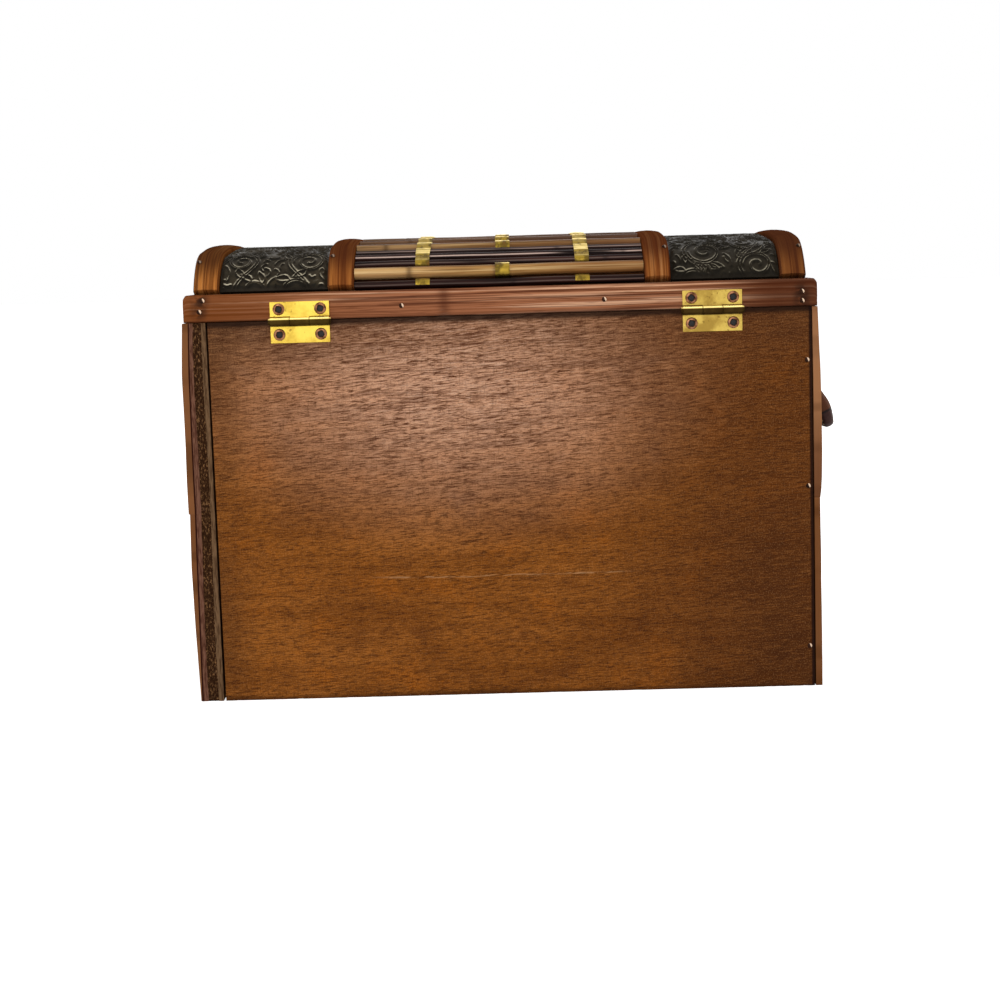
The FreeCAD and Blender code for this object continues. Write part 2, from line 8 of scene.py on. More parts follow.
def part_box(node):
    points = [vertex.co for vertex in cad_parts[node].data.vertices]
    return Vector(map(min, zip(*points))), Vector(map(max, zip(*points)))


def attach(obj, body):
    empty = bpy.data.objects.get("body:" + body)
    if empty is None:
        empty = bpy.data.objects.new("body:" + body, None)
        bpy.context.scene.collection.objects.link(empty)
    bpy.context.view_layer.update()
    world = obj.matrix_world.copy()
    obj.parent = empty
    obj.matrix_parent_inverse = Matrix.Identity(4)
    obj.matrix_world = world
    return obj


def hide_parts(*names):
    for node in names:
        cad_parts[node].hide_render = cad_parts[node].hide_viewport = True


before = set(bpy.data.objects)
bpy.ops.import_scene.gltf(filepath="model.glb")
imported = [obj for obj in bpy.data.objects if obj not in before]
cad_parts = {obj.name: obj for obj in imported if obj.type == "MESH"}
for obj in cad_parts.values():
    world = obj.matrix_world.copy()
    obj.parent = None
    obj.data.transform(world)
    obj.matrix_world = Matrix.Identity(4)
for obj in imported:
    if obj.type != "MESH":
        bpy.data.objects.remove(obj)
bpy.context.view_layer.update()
mm = 0.001
right = np.array((1.0, 0.0, 0.0))
back = np.array((0.0, 1.0, 0.0))
up = np.array((0.0, 0.0, 1.0))
print("frame loaded:", len(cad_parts), "nodes")


# Shaders: sums and products of sockets add Math nodes
class Sock:
    def __init__(self, paint, socket):
        self.paint = paint
        self.socket = socket

    def maths(self, operation, first, second):
        return self.paint.node("ShaderNodeMath", {"operation": operation}, {0: first, 1: second})

    def __add__(self, other):
        return self.maths("ADD", self, other)

    def __radd__(self, other):
        return self.maths("ADD", other, self)

    def __sub__(self, other):
        return self.maths("SUBTRACT", self, other)

    def __rsub__(self, other):
        return self.maths("SUBTRACT", other, self)

    def __mul__(self, other):
        return self.maths("MULTIPLY", self, other)

    def __rmul__(self, other):
        return self.maths("MULTIPLY", other, self)


class Nodes:
    def __init__(self, tree):
        self.tree = tree

    def join(self, value, socket):
        if isinstance(value, Sock):
            self.tree.links.new(value.socket, socket)
        else:
            socket.default_value = value

    def node(self, kind, settings=None, sockets=None, out=0):
        made = self.tree.nodes.new(kind)
        for name, value in (settings or {}).items():
            setattr(made, name, value)
        for key, value in (sockets or {}).items():
            self.join(value, made.inputs[key])
        return Sock(self, made.outputs[out]) if made.outputs else None

    def backgroundRays(self):
        # 1 for the rays that see the background itself
        seen, glossy, through = [self.node("ShaderNodeLightPath", out="Is %s Ray" % kind)
                                 for kind in ("Camera", "Glossy", "Transmission")]
        return seen.maths("MAXIMUM", seen, glossy.maths("MAXIMUM", glossy, through))


class Paint(Nodes):
    def __init__(self, name, sheen=None, **constants):
        if sheen is not None:
            constants["Specular IOR Level"] = sheen
        self.material = bpy.data.materials.new(name)
        self.material.use_nodes = True
        super().__init__(self.material.node_tree)
        self.shader = self.tree.nodes["Principled BSDF"]
        for key, value in constants.items():
            self.shader.inputs[key].default_value = value

    def place(self):
        return self.node("ShaderNodeTexCoord", out="Object")

    def facing(self):
        return self.node("ShaderNodeTexCoord", out="Normal")

    def tag(self, name, out="Fac"):
        return self.node("ShaderNodeAttribute", {"attribute_name": name}, out=out)

    def stretch(self, vector, scale):
        return self.node("ShaderNodeVectorMath", {"operation": "MULTIPLY"}, {0: vector, 1: scale})

    def part(self, vector, axis):
        return self.node("ShaderNodeSeparateXYZ", sockets={0: vector}, out=axis)

    def axis(self, name):
        return self.part(self.place(), name)

    def towards(self, name):
        return self.part(self.facing(), name)

    def clouds(self, vector, scale, detail=2.0, rough=0.5, warp=0.0):
        sockets = {"Vector": self.stretch(vector, scale), "Scale": 1.0, "Detail": detail}
        sockets.update({"Roughness": rough, "Distortion": warp})
        return self.node("ShaderNodeTexNoise", sockets=sockets)

    def fade(self, value, low, high):
        sockets = {"Value": value, "From Min": low, "From Max": high}
        return self.node("ShaderNodeMapRange", {"interpolation_type": "SMOOTHSTEP"}, sockets)

    def mix(self, factor, first, second):
        return self.node("ShaderNodeMix", {"data_type": "RGBA"}, {0: factor, 6: first, 7: second}, out=2)

    def start(self, factor, first, second):
        self.colour = self.mix(factor, first, second)

    def lay(self, factor, *colour):
        # one more colour over those so far, as three numbers or as a socket
        self.colour = self.mix(factor, self.colour, tint(*colour) if len(colour) == 3 else colour[0])

    def near(self, vector, spot, reach):
        # 1 at a spot, fading to 0 at its reach
        far = self.node("ShaderNodeVectorMath", {"operation": "DISTANCE"}, {0: vector, 1: spot}, out="Value")
        return self.fade(far, reach, 0.0)

    def magnitude(self, value):
        return self.node("ShaderNodeMath", {"operation": "ABSOLUTE"}, {0: value})

    def bump(self, height, depth):
        return self.node("ShaderNodeBump", sockets={"Distance": depth, "Height": height})

    def finish(self, rough, normal, metal=None):
        links = {"Base Color": self.colour, "Roughness": rough, "Normal": normal, "Metallic": metal}
        for name, value in links.items():
            if value is not None:
                self.join(value, self.shader.inputs[name])
        return self.material


def tint(red, green, blue):
    # a colour as a picture editor gives it, in the shader's linear light
    linear = [(c / 255 / 12.92) if c < 11 else ((c / 255 + 0.055) / 1.055) ** 2.4 for c in (red, green, blue)]
    return (*linear, 1.0)


# Floor, light and camera
studio = dict(
    cameraPlace=(-6.82 * mm, 1100 * mm, 223.46 * mm),
    pitch=math.radians(6.898),
    yaw=math.radians(-0.533),
    roll=math.radians(-1.621),
    lens=72.17,
    sensor=36.0,
    ambient=0.52,
    floorGlow=0.7,
    floorReach=12.0,
    aim=(0, 0, 120 * mm),
    lamps=(
        ("keyLamp", (0.35, 1.9, 0.9), 1.3, 13.0),
        ("topLamp", (-0.1, 0.1, 1.9), 1.5, 6.0),
        ("frontLamp", (-0.5, -1.9, 1.1), 1.3, 9.0),
        ("sideLamp", (-1.9, 0.2, 0.9), 1.0, 4.0),
        ("otherSideLamp", (1.9, 0.2, 0.9), 1.0, 4.0),
    ),
)


def setStudio():
    scene = bpy.context.scene
    scene.view_settings.view_transform = "Standard"
    world = bpy.data.worlds.new("paleRoom")
    scene.world = world
    world.use_nodes = True
    world.node_tree.nodes.clear()
    room = Nodes(world.node_tree)
    light = room.node("ShaderNodeBackground", sockets={"Color": (1, 1, 1, 1), "Strength": studio["ambient"]})
    white = room.node("ShaderNodeBackground", sockets={"Color": (1, 1, 1, 1), "Strength": 1.0})
    choice = room.node("ShaderNodeMixShader", sockets={0: room.backgroundRays(), 1: light, 2: white})
    room.node("ShaderNodeOutputWorld", sockets={0: choice})

    floorPaint = Paint("paleFloor", **{"Roughness": 0.9, "Emission Strength": studio["floorGlow"]})
    floorPaint.join((0.9, 0.9, 0.9, 1), floorPaint.shader.inputs["Base Color"])
    glow = floorPaint.mix(floorPaint.backgroundRays(), (0, 0, 0, 1), (1, 1, 1, 1))
    floorPaint.join(glow, floorPaint.shader.inputs["Emission Color"])
    reach = studio["floorReach"]
    mesh = bpy.data.meshes.new("floor")
    corners = [(-reach, -reach, 0), (reach, -reach, 0), (reach, reach, 0), (-reach, reach, 0)]
    mesh.from_pydata(corners, [], [(0, 1, 2, 3)])
    mesh.materials.append(floorPaint.material)
    floor = bpy.data.objects.new("floor", mesh)
    scene.collection.objects.link(floor)

    for name, place, size, power in studio["lamps"]:
        data = bpy.data.lights.new(name, "AREA")
        data.size = size
        data.energy = power
        lamp = bpy.data.objects.new(name, data)
        lamp.location = place
        aim = Vector(studio["aim"]) - Vector(place)
        lamp.rotation_euler = aim.to_track_quat("-Z", "Y").to_euler()
        scene.collection.objects.link(lamp)

    data = bpy.data.cameras.new("photoCamera")
    data.lens = studio["lens"]
    data.sensor_width = studio["sensor"]
    camera = bpy.data.objects.new("photoCamera", data)
    pitch, yaw, roll = studio["pitch"], studio["yaw"], studio["roll"]
    level = math.cos(pitch)
    ahead = Vector((-math.sin(yaw) * level, -math.cos(yaw) * level, -math.sin(pitch)))
    aside = Vector((-math.cos(yaw), math.sin(yaw), 0))
    above = aside.cross(ahead)
    tiltedAside = aside * math.cos(roll) + above * math.sin(roll)
    tiltedAbove = above * math.cos(roll) - aside * math.sin(roll)
    turn = Matrix((tiltedAside, tiltedAbove, -ahead)).transposed().to_4x4()
    camera.matrix_world = Matrix.Translation(studio["cameraPlace"]) @ turn
    scene.collection.objects.link(camera)
    scene.camera = camera


setStudio()
print("studio set")


# Meshes: closed tubes of rings, gathered into one piece with tags for the shaders
class Shape:
    def __init__(self):
        self.points = []
        self.faces = []
        self.grain = []
        self.relief = []
        self.knot = []
        self.count = 0

    def tube(self, rings, grain, relief=0.0, knot=0.0):
        rows, around = rings.shape[:2]
        total = rows * around
        self.points.append(rings.reshape(-1, 3))
        self.grain.append(np.broadcast_to(grain, (rows, around, 3)).reshape(-1, 3))
        self.relief.append(np.broadcast_to(relief, (rows, around)).reshape(-1))
        self.knot.append(np.broadcast_to(knot, (rows, around)).reshape(-1))
        index = self.count + np.arange(total).reshape(rows, around)
        after = np.roll(index, -1, axis=1)
        quads = np.stack([index[:-1], after[:-1], after[1:], index[1:]], -1).reshape(-1, 4)
        self.faces += quads.tolist()
        self.faces.append(index[0, ::-1].tolist())
        self.faces.append(index[-1].tolist())
        self.count += total

    def piece(self, node, finish, body, sharp=35, suffix="", isExtra=False):
        # stands for a CAD node, or rides along with it as an extra
        name = node.replace("_", "-") + suffix
        mesh = bpy.data.meshes.new(name)
        mesh.from_pydata(np.concatenate(self.points).tolist(), [], self.faces)
        for tag, kind, field, values in (
            ("grain", "FLOAT_VECTOR", "vector", self.grain),
            ("relief", "FLOAT", "value", self.relief),
            ("knot", "FLOAT", "value", self.knot),
        ):
            layer = mesh.attributes.new(tag, kind, "POINT")
            layer.data.foreach_set(field, np.concatenate(values).astype(np.float32).ravel())
        work = bmesh.new()
        work.from_mesh(mesh)
        bmesh.ops.recalc_face_normals(work, faces=work.faces)
        work.to_mesh(mesh)
        work.free()
        mesh.shade_smooth()
        mesh.set_sharp_from_angle(angle=math.radians(sharp))
        mesh.materials.append(finish)
        made = bpy.data.objects.new(name, mesh)
        bpy.context.scene.collection.objects.link(made)
        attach(made, body)
        if not isExtra:
            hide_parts(node)
        return made


def wave(seed, reach, spans):
    # a smooth wavering of a length, made of a few sines with seeded phases
    phases = np.random.default_rng(seed).uniform(0, 2 * math.pi, len(spans))

    def at(length):
        return reach * sum(np.sin(2 * math.pi * length / s + p) for s, p in zip(spans, phases)) / len(spans)
    return at


def roughness(points, scale, seed):
    shift = Vector((seed * 7.3, seed * 3.1, seed * 5.7))
    flat = points.reshape(-1, 3)
    values = [noise.fractal(Vector(p) * scale + shift, 0.9, 2.0, 3) for p in flat]
    return np.array(values).reshape(points.shape[:-1])


def sizes(**lengths):
    return {name: length * mm for name, length in lengths.items()}


def pack(*parts):
    # coordinates put together as points
    return np.stack(np.broadcast_arrays(*parts), -1)


def unit(vectors):
    return vectors / np.linalg.norm(vectors, axis=-1, keepdims=True)


def travelled(points):
    # how far along a line each of its points is
    return np.concatenate([[0], np.cumsum(np.linalg.norm(np.diff(points, axis=0), axis=1))])


def spotsAlong(line, steps, at):
    return pack(*[np.interp(at, steps, line[:, k]) for k in (0, 1)])


def bell(distance, width):
    return np.exp(-(distance / width) ** 2)


def ease(value, low, high):
    t = np.clip((value - low) / (high - low), 0, 1)
    return t * t * (3 - 2 * t)


# The lid's arch, worked out from the lid skin and the radius of its shoulders
skinLow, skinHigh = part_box("lid_skin")
arch = dict(shoulder=30.3 * mm, middle=(skinLow.y + skinHigh.y) / 2, bottom=skinLow.z)
archHalf = (skinHigh.y - skinLow.y) / 2
archRise = skinHigh.z - skinLow.z
crownRadius = (archHalf**2 + archRise**2 - 2 * archHalf * arch["shoulder"]) / (2 * (archRise - arch["shoulder"]))
crownDrop = crownRadius - archRise
shoulderY = archHalf - arch["shoulder"]
shoulderTurn = math.atan2(crownDrop, shoulderY)
crownReach = crownRadius * (math.pi / 2 - shoulderTurn)
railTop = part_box("lid_back_rail")[1].z
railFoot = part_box("lid_back_rail")[0].z
archFoot = crownReach + arch["shoulder"] * (shoulderTurn - math.asin((railTop - arch["bottom"]) / arch["shoulder"]))


def archAt(along):
    # points on the lid skin and their outward directions, measured along the arch from its crest to the back
    reach = np.abs(along)
    onCrown = reach <= crownReach
    onShoulder = shoulderTurn - (reach - crownReach) / arch["shoulder"]
    turn = np.where(onCrown, math.pi / 2 - reach / crownRadius, onShoulder)
    y = np.where(onCrown, crownRadius * np.cos(turn), shoulderY + arch["shoulder"] * np.cos(turn))
    z = np.where(onCrown, crownRadius * np.sin(turn) - crownDrop, arch["shoulder"] * np.sin(turn))
    side = np.where(along >= 0, 1.0, -1.0)
    return pack(0.0, arch["middle"] + side * y, arch["bottom"] + z), pack(0.0, side * np.cos(turn), np.sin(turn))


def archSpine(x):
    def at(along):
        points, outward = archAt(along)
        return points + right * x, outward
    return at


def straightSpine(origin, along, out):
    def at(length):
        return np.array(origin) + length[..., None] * along, np.broadcast_to(out, length.shape + (3,))
    return at


# sheens of waxed and of bare wood
matte, raw = 0.03, 0.0

# Bamboo: split straps with rounded edges, fibres, joints of the stem and ragged saw cuts
bamboo = dict(**sizes(step=1.5, column=0.45, edge=1.1, crown=0.35, fibre=0.12, knotRidge=0.3, knot=3, cutReach=5),
              tears=(2.1 * mm, 4.7 * mm, 9 * mm), fibres=(0.9 * mm, 1.7 * mm, 3.1 * mm, 6.3 * mm))


def strapOutline(width, thickness, edge, crown):
    half = width / 2
    top = thickness - crown
    columns = max(8, int(width / bamboo["column"]))
    face = np.linspace(-1, 1, columns)[1:-1] * (half - edge)
    turn = np.linspace(math.pi, math.pi / 2, 5)
    corner = pack(-half + edge + edge * np.cos(turn), top - edge + edge * np.sin(turn))
    middle = pack(face, thickness - crown * (face / (half - edge)) ** 2)
    other = corner[::-1] * (-1, 1)
    return np.concatenate([[(-half, 0)], corner, middle, other, [(half, 0)]])


def addStrap(shape, spine, across, start, end, width, thickness, seed, knots=(), edge=None, crown=None,
             lift=None, grow=None, ragged=0.3 * mm, cut=None, corner=0.0, keep=None):
    # ragged is the saw cut's roughness at both ends, unless cut gives another for the far end
    outline = strapOutline(width, thickness, edge or bamboo["edge"], bamboo["crown"] if crown is None else crown)
    u, v = outline[:, 0], outline[:, 1]
    rows = max(6, int((end - start) / bamboo["step"]))
    along = np.linspace(start, end, rows)
    if corner:
        close = corner * (1 - np.cos(np.linspace(0, math.pi / 2, 8)))
        along = np.unique(np.concatenate([along, start + close, end - close]))
    rng = np.random.default_rng(seed)
    s = np.repeat(along[:, None], len(u), 1)
    rough = (1 - wave(seed + 5, 1.0, bamboo["tears"])(u)) / 2
    reach = bamboo["cutReach"]
    s = s + rough * (ragged * ease(s, start + reach, start) - (cut or ragged) * ease(s, end - reach, end))
    fibre = np.zeros_like(s)
    for span in bamboo["fibres"]:
        drift = wave(seed + int(span * 1e5), 0.9 * span, (0.031, 0.083, 0.19))
        fibre = fibre + np.sin(2 * math.pi * (u + drift(s)) / span + rng.uniform(0, 6.28))
    fibre = fibre / len(bamboo["fibres"])
    knot = sum((bell(s - k, bamboo["knot"]) for k in knots), np.zeros_like(s))
    ridge = sum((bell(s - k, 0.9 * mm) - 0.6 * bell(s - k - 2.2 * mm, 0.9 * mm) for k in knots), np.zeros_like(s))
    wavering = wave(seed + 9, 0.18 * mm, (0.07, 0.16))
    onFace = ease(v, 0.35 * thickness, 0.8 * thickness)
    acrossNow = u * (1 - 0.012 * (1 + wave(seed + 2, 1, (0.05, 0.12))(s)))
    outNow = v if grow is None else v * grow(s)
    outNow = outNow - onFace * (bamboo["fibre"] * (1 - fibre) / 2 + 0.1 * mm + wavering(s) * 0.5)
    outNow = outNow + onFace * ridge * bamboo["knotRidge"] * 0.35
    if corner:
        close = np.clip(corner - np.minimum(s - start, end - s), 0, corner)
        drop = corner - np.sqrt(np.maximum(corner**2 - close**2, 0))
        acrossNow = -width / 2 + (acrossNow + width / 2) * (1 - drop / width)
    points, outward = spine(s)
    if lift is not None:
        outNow = outNow + lift(s)
    rings = points + acrossNow[..., None] * across + outNow[..., None] * outward
    if keep:
        rings[..., 1] = np.clip(rings[..., 1], *keep)
    shape.tube(rings, pack(s, u, rng.uniform(0, 1)), relief=0.5 + 0.5 * fibre, knot=np.clip(knot, 0, 1))


def bambooPaint(name, light, dark, deep, pale, gloss, sheen):
    # light and dark streaks, deep lines between fibres, and a brown, dusty band at each joint of the stem
    paint = Paint(name, sheen)
    grain = paint.tag("grain", "Vector")
    tone = paint.part(grain, "Z")
    seeded = paint.node("ShaderNodeVectorMath", {"operation": "MULTIPLY_ADD"},
                        {0: grain, 1: (1, 1, 3.7), 2: (0.3, 0.1, 0.2)})
    broad = paint.clouds(seeded, (11, 150, 1), detail=3)
    streak = paint.clouds(seeded, (7, 520, 1), detail=2, rough=0.55)
    line = paint.clouds(seeded, (5, 820, 1), detail=1, rough=0.5)
    fine = paint.clouds(seeded, (20, 1600, 1), detail=2, rough=0.6)
    blotch = paint.clouds(seeded, (45, 240, 1), detail=4, rough=0.6)
    paint.start(paint.fade(broad * 0.5 + streak * 0.5 + tone * 0.1 - 0.05, 0.36, 0.64), dark, light)
    paint.lay(paint.fade(streak, 0.5, 0.64) * 0.85, pale)
    lines = paint.fade(line, 0.46, 0.36)
    paint.lay(lines * 0.5, deep)
    fibre = paint.clouds(seeded, (3, 330, 1), detail=1, rough=0.5)
    thread = paint.fade(paint.magnitude(fibre - 0.5), 0.05, 0.015)
    paint.lay(thread * 0.62, deep)
    paint.lay(paint.fade(fine, 0.5, 0.34) * 0.55, deep)
    paint.lay(paint.fade(paint.tag("relief"), 0.4, 0.1) * 0.4, deep)
    joint = paint.tag("knot")
    paint.lay(joint * 0.55, deep)
    paint.lay(joint * paint.fade(blotch, 0.52, 0.66) * 0.4, 176, 144, 120)
    return paint, gloss + 0.25 * lines, paint.bump(streak * 0.5 + line * 0.5, 0.3 * mm)


lidRail = dict(**sizes(corner=3, edge=0.9, crown=0.2, ragged=0.1, sideKnot=20, grime=6.5),
               backKnots=(28 * mm,), frontKnots=(-64 * mm,),
               endNails=((151, 85, 205.8), (151.9, 85, 200.2), (-152.3, 85, 202.4), (-152.3, 85, 197.6)))


def railFinish():
    paint, rough, normal = bambooPaint(
        "stainedRail", tint(196, 134, 96), tint(154, 96, 64), tint(70, 30, 16), tint(216, 168, 134), 0.45, matte)
    # warmer towards one end, darker towards the other, with rust and grime round the end nails and painted shade along
    # the lower edge
    place = paint.place()
    x = paint.part(place, "X")
    paint.lay(paint.fade(x, 50 * mm, 150 * mm) * 0.82, 112, 58, 18)
    paint.lay(paint.fade(x, -96 * mm, -140 * mm) * 0.86, 72, 32, 12)
    # painted shade along the rail's lower edge
    hem = paint.fade(paint.part(place, "Z"), railFoot + 1.6 * mm, railFoot + 0.3 * mm)
    paint.lay(hem * 0.65, 58, 26, 14)
    grime = paint.clouds(place, (180, 1, 260), detail=3)
    for spot in lidRail["endNails"]:
        mark = paint.near(place, tuple(c * mm for c in spot), lidRail["grime"])
        paint.lay(mark * paint.fade(grime, 0.3, 0.55) * 0.9, 40, 22, 14)
    return paint.finish(rough, normal)


def strapFinish():
    paint, rough, normal = bambooPaint(
        "stainedBamboo", tint(186, 118, 56), tint(140, 80, 36), tint(70, 30, 12), tint(206, 146, 90), 0.4, raw)
    # painted shade on the tops and side faces, and the straps are also darker towards one end
    above = paint.fade(paint.towards("Z"), 0.5, 0.88)
    paint.lay(above * 0.82, 62, 34, 20)
    beside = paint.fade(paint.magnitude(paint.towards("X")), 0.3, 0.7)
    paint.lay(beside * 0.7, 78, 40, 18)
    x = paint.axis("X")
    paint.lay(paint.fade(x, 130 * mm, 60 * mm) * 0.35, 98, 44, 22)
    paint.lay(paint.fade(x, -100 * mm, -145 * mm) * 0.5, 66, 38, 24)
    return paint.finish(rough, normal)


def slatFinish():
    paint, rough, normal = bambooPaint(
        "paleBamboo", tint(146, 94, 60), tint(112, 66, 40), tint(54, 24, 12), tint(160, 112, 76), 0.45, raw)
    # olive on one side and low on the other, where the upper slats are paler
    place = paint.place()
    x = paint.part(place, "X")
    onRight, onLeft = paint.fade(x, 150 * mm, 155 * mm), paint.fade(x, -150 * mm, -155 * mm)
    isLow = paint.fade(paint.part(place, "Z"), 99 * mm, 96 * mm)
    paint.lay(onRight * 0.4, 100, 66, 36)
    paint.lay(onLeft * isLow * 0.5, 92, 58, 26)
    paint.lay(onLeft * (1 - isLow) * 0.16, 176, 122, 82)
    return paint.finish(rough, normal)


railPaint = railFinish()
strapPaint = strapFinish()
slatPaint = slatFinish()


def addBar(shape, low, high, base, along, out, seed, **extra):
    # a straight strap that fills a box outwards from its base, along one axis
    i, j = int(np.argmax(along)), int(np.argmax(np.abs(out)))
    k = 3 - i - j
    origin = np.zeros(3)
    origin[j] = base
    origin[k] = (low[k] + high[k]) / 2
    thickness = abs((high if out[j] > 0 else low)[j] - base)
    addStrap(shape, straightSpine(origin, along, out), (right, back, up)[k], low[i], high[i], high[k] - low[k],
             thickness, seed, **extra)


def makeLidRails():
    for name, out, knots, seed in (("lid_back_rail", back, lidRail["backKnots"], 11),
                                   ("lid_front_rail", -back, lidRail["frontKnots"], 12)):
        low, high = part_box(name)
        shape = Shape()
        addBar(shape, low, high, low.y if out is back else high.y, right, out, seed, knots=knots,
               edge=lidRail["edge"], crown=lidRail["crown"], corner=lidRail["corner"], ragged=lidRail["ragged"])
        shape.piece(name, railPaint, "lid")
    low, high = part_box("lid_side_rails")
    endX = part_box("lid_right_end_leather")[1].x
    shape = Shape()
    for side, seed in ((1, 13), (-1, 14)):
        addBar(shape, low, high, side * endX, back, side * right, seed, knots=(side * lidRail["sideKnot"],),
               ragged=lidRail["ragged"])
    shape.piece("lid_side_rails", railPaint, "lid")


rib = dict(**sizes(edge=1.6, crown=0.5, ragged=0.05),
           knots=((52 * mm,), (-31 * mm,), (12 * mm,), (-60 * mm,)))


def makeRibs():
    for number, knots in enumerate(rib["knots"], 1):
        name = "lid_rib_%d" % number
        low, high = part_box(name)
        shape = Shape()
        addStrap(shape, archSpine((low.x + high.x) / 2), right, -archFoot, archFoot, high.x - low.x,
                 high.z - skinHigh.z, seed=20 + number, knots=knots, edge=rib["edge"], crown=rib["crown"],
                 ragged=rib["ragged"], keep=(low.y, high.y))
        shape.piece(name, strapPaint, "lid")


# the tables give heights up the box, how far the loose slats' faces stand out there, and how far their backs do
slats = dict(
    **sizes(width=20, thickness=3, edge=0.45, crown=0.1, torn=0.5, ragged=0.3, cut=0.15, railKnot=30), frontShare=0.25,
    reach=sizes(upper=1.2, lower=0.9),
    upperRight=((97, 2.2, 1.7), (115, 2.4, 1.8), (138, 2.3, 1.8), (169, 2.4, 1.7), (181, 1.8, 1.3), (194, 1.2, 0.9)),
    lowerRight=((0, 0.0, 2.3), (6, 0.1, 2.3), (38, 1.4, 2.1), (69, 2.0, 2.0), (97, 1.6, 1.7)),
    upperLeft=((97, 0.9, 0.6), (102, 1.6, 0.6), (108, 1.9, 0.6), (122, 2.1, 0.6), (152, 1.9, 0.6), (167, 1.5, 0.5),
               (194, 0.4, 0.3)),
    lowerLeft=((0, 1.1, 0.6), (29, 1.3, 0.6), (60, 1.1, 0.6), (97, 0.9, 0.6)),
)


def slatOffsets(table, share, bottom):
    heights, outs, backs = np.array(table).T * mm
    thickness = slats["thickness"]

    def lift(s):
        return share * np.interp(s + bottom, heights, backs)

    def grow(s):
        return 1 + share * np.interp(s + bottom, heights, outs - backs) / thickness
    return lift, grow


def makeSlats():
    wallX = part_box("right_panel")[1].x
    for name, place in (("upper_corner_slats", "upper"), ("lower_corner_slats", "lower")):
        low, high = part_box(name)
        shape = Shape()
        length = high.z - low.z
        for side, sideName in ((1, "Right"), (-1, "Left")):
            for end in (1, -1):
                seed = 40 + 4 * (place == "upper") + 2 * (side > 0) + (end > 0)
                y = end * (high.y - slats["width"] / 2)
                spine = straightSpine((side * wallX, y, low.z), up, side * right)
                lift, grow = slatOffsets(slats[place + sideName], 1.0 if end > 0 else slats["frontShare"], low.z)
                isTorn = place == "upper" and side < 0 and end > 0
                knots = () if end > 0 else (length * (0.3 + 0.1 * (seed % 4)),)
                addStrap(shape, spine, back, 0.0, length + slats["reach"][place], slats["width"], slats["thickness"],
                         seed, knots=knots, edge=slats["edge"], crown=slats["crown"], lift=lift, grow=grow,
                         ragged=slats["torn" if isTorn else "ragged"], cut=slats["cut"])
        shape.piece(name, slatPaint, "chest")
    for name, first in (("side_top_rails", 61), ("side_bottom_rails", 60)):
        low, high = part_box(name)
        shape = Shape()
        for side in (1, -1):
            addBar(shape, low, high, side * wallX, back, side * right, first + 2 * (side > 0),
                   knots=(side * slats["railKnot"],))
        shape.piece(name, slatPaint, "chest")


frontTrim = dict(**sizes(edge=1.8, crown=0.6, railRagged=0.15, strapRagged=0.1), railKnots=(-88 * mm, 64 * mm))


def makeFrontFrame():
    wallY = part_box("front_panel")[0].y
    for name, seed in (("front_top_rail", 71), ("front_bottom_rail", 72)):
        low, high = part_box(name)
        shape = Shape()
        addBar(shape, low, high, wallY, right, -back, seed, knots=frontTrim["railKnots"],
               edge=frontTrim["edge"], crown=frontTrim["crown"], ragged=frontTrim["railRagged"])
        shape.piece(name, strapPaint, "chest")
    for number in (1, 2, 3, 4):
        name = "front_strap_%d" % number
        low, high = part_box(name)
        shape = Shape()
        addBar(shape, low, high, wallY, up, -back, 80 + number, knots=(low.z + (25 + 27 * number) * mm,),
               edge=frontTrim["edge"], crown=frontTrim["crown"], ragged=frontTrim["strapRagged"])
        shape.piece(name, strapPaint, "chest")


makeLidRails()
makeRibs()
makeSlats()
makeFrontFrame()
print("bamboo trim made")


# Woven mats of canes, reeds and brass strips
mat = sizes(cane=6.4, reed=4.6, lidPitch=23, frontPitch=22.6, caneGap=0.6, reedGap=0.5, lift=0.55, tuck=1.7,
            strip=0.28, stripGap=0.12, stripWidth=7.2, stripPitch=40.4, stripMiddle=-1.8, caneSway=0.2, reedSway=0.3)
# how far from the crest the lid's canes are darkened, and how much
mat["smoke"] = ((40 * mm, 1.0), (70 * mm, 0.91))


def matRows(halfLength, pitch):
    # stations of the canes, and of the reeds between and beyond them
    edge = mat["cane"] / 2 + mat["caneGap"]
    canes = 1 + int((2 * halfLength - mat["cane"]) / pitch)
    canes = [(k - (canes - 1) / 2) * pitch for k in range(canes)]
    bays = [(a + edge, b - edge) for a, b in zip(canes, canes[1:])]
    room = halfLength - canes[-1] - edge
    count = int((room + mat["reedGap"]) / (mat["reed"] + mat["reedGap"]))
    if count > 0:
        reach = count * (mat["reed"] + mat["reedGap"]) - mat["reedGap"]
        bays = [(canes[0] - edge - reach, canes[0] - edge)] + bays + [(canes[-1] + edge, canes[-1] + edge + reach)]
    reeds = []
    for low, high in bays:
        inBay = int((high - low + mat["reedGap"]) / (mat["reed"] + mat["reedGap"]) + 1e-6)
        reeds += [low + mat["reed"] / 2 + k * (high - low - mat["reed"]) / max(1, inBay - 1) for k in range(inBay)]
    return canes, reeds


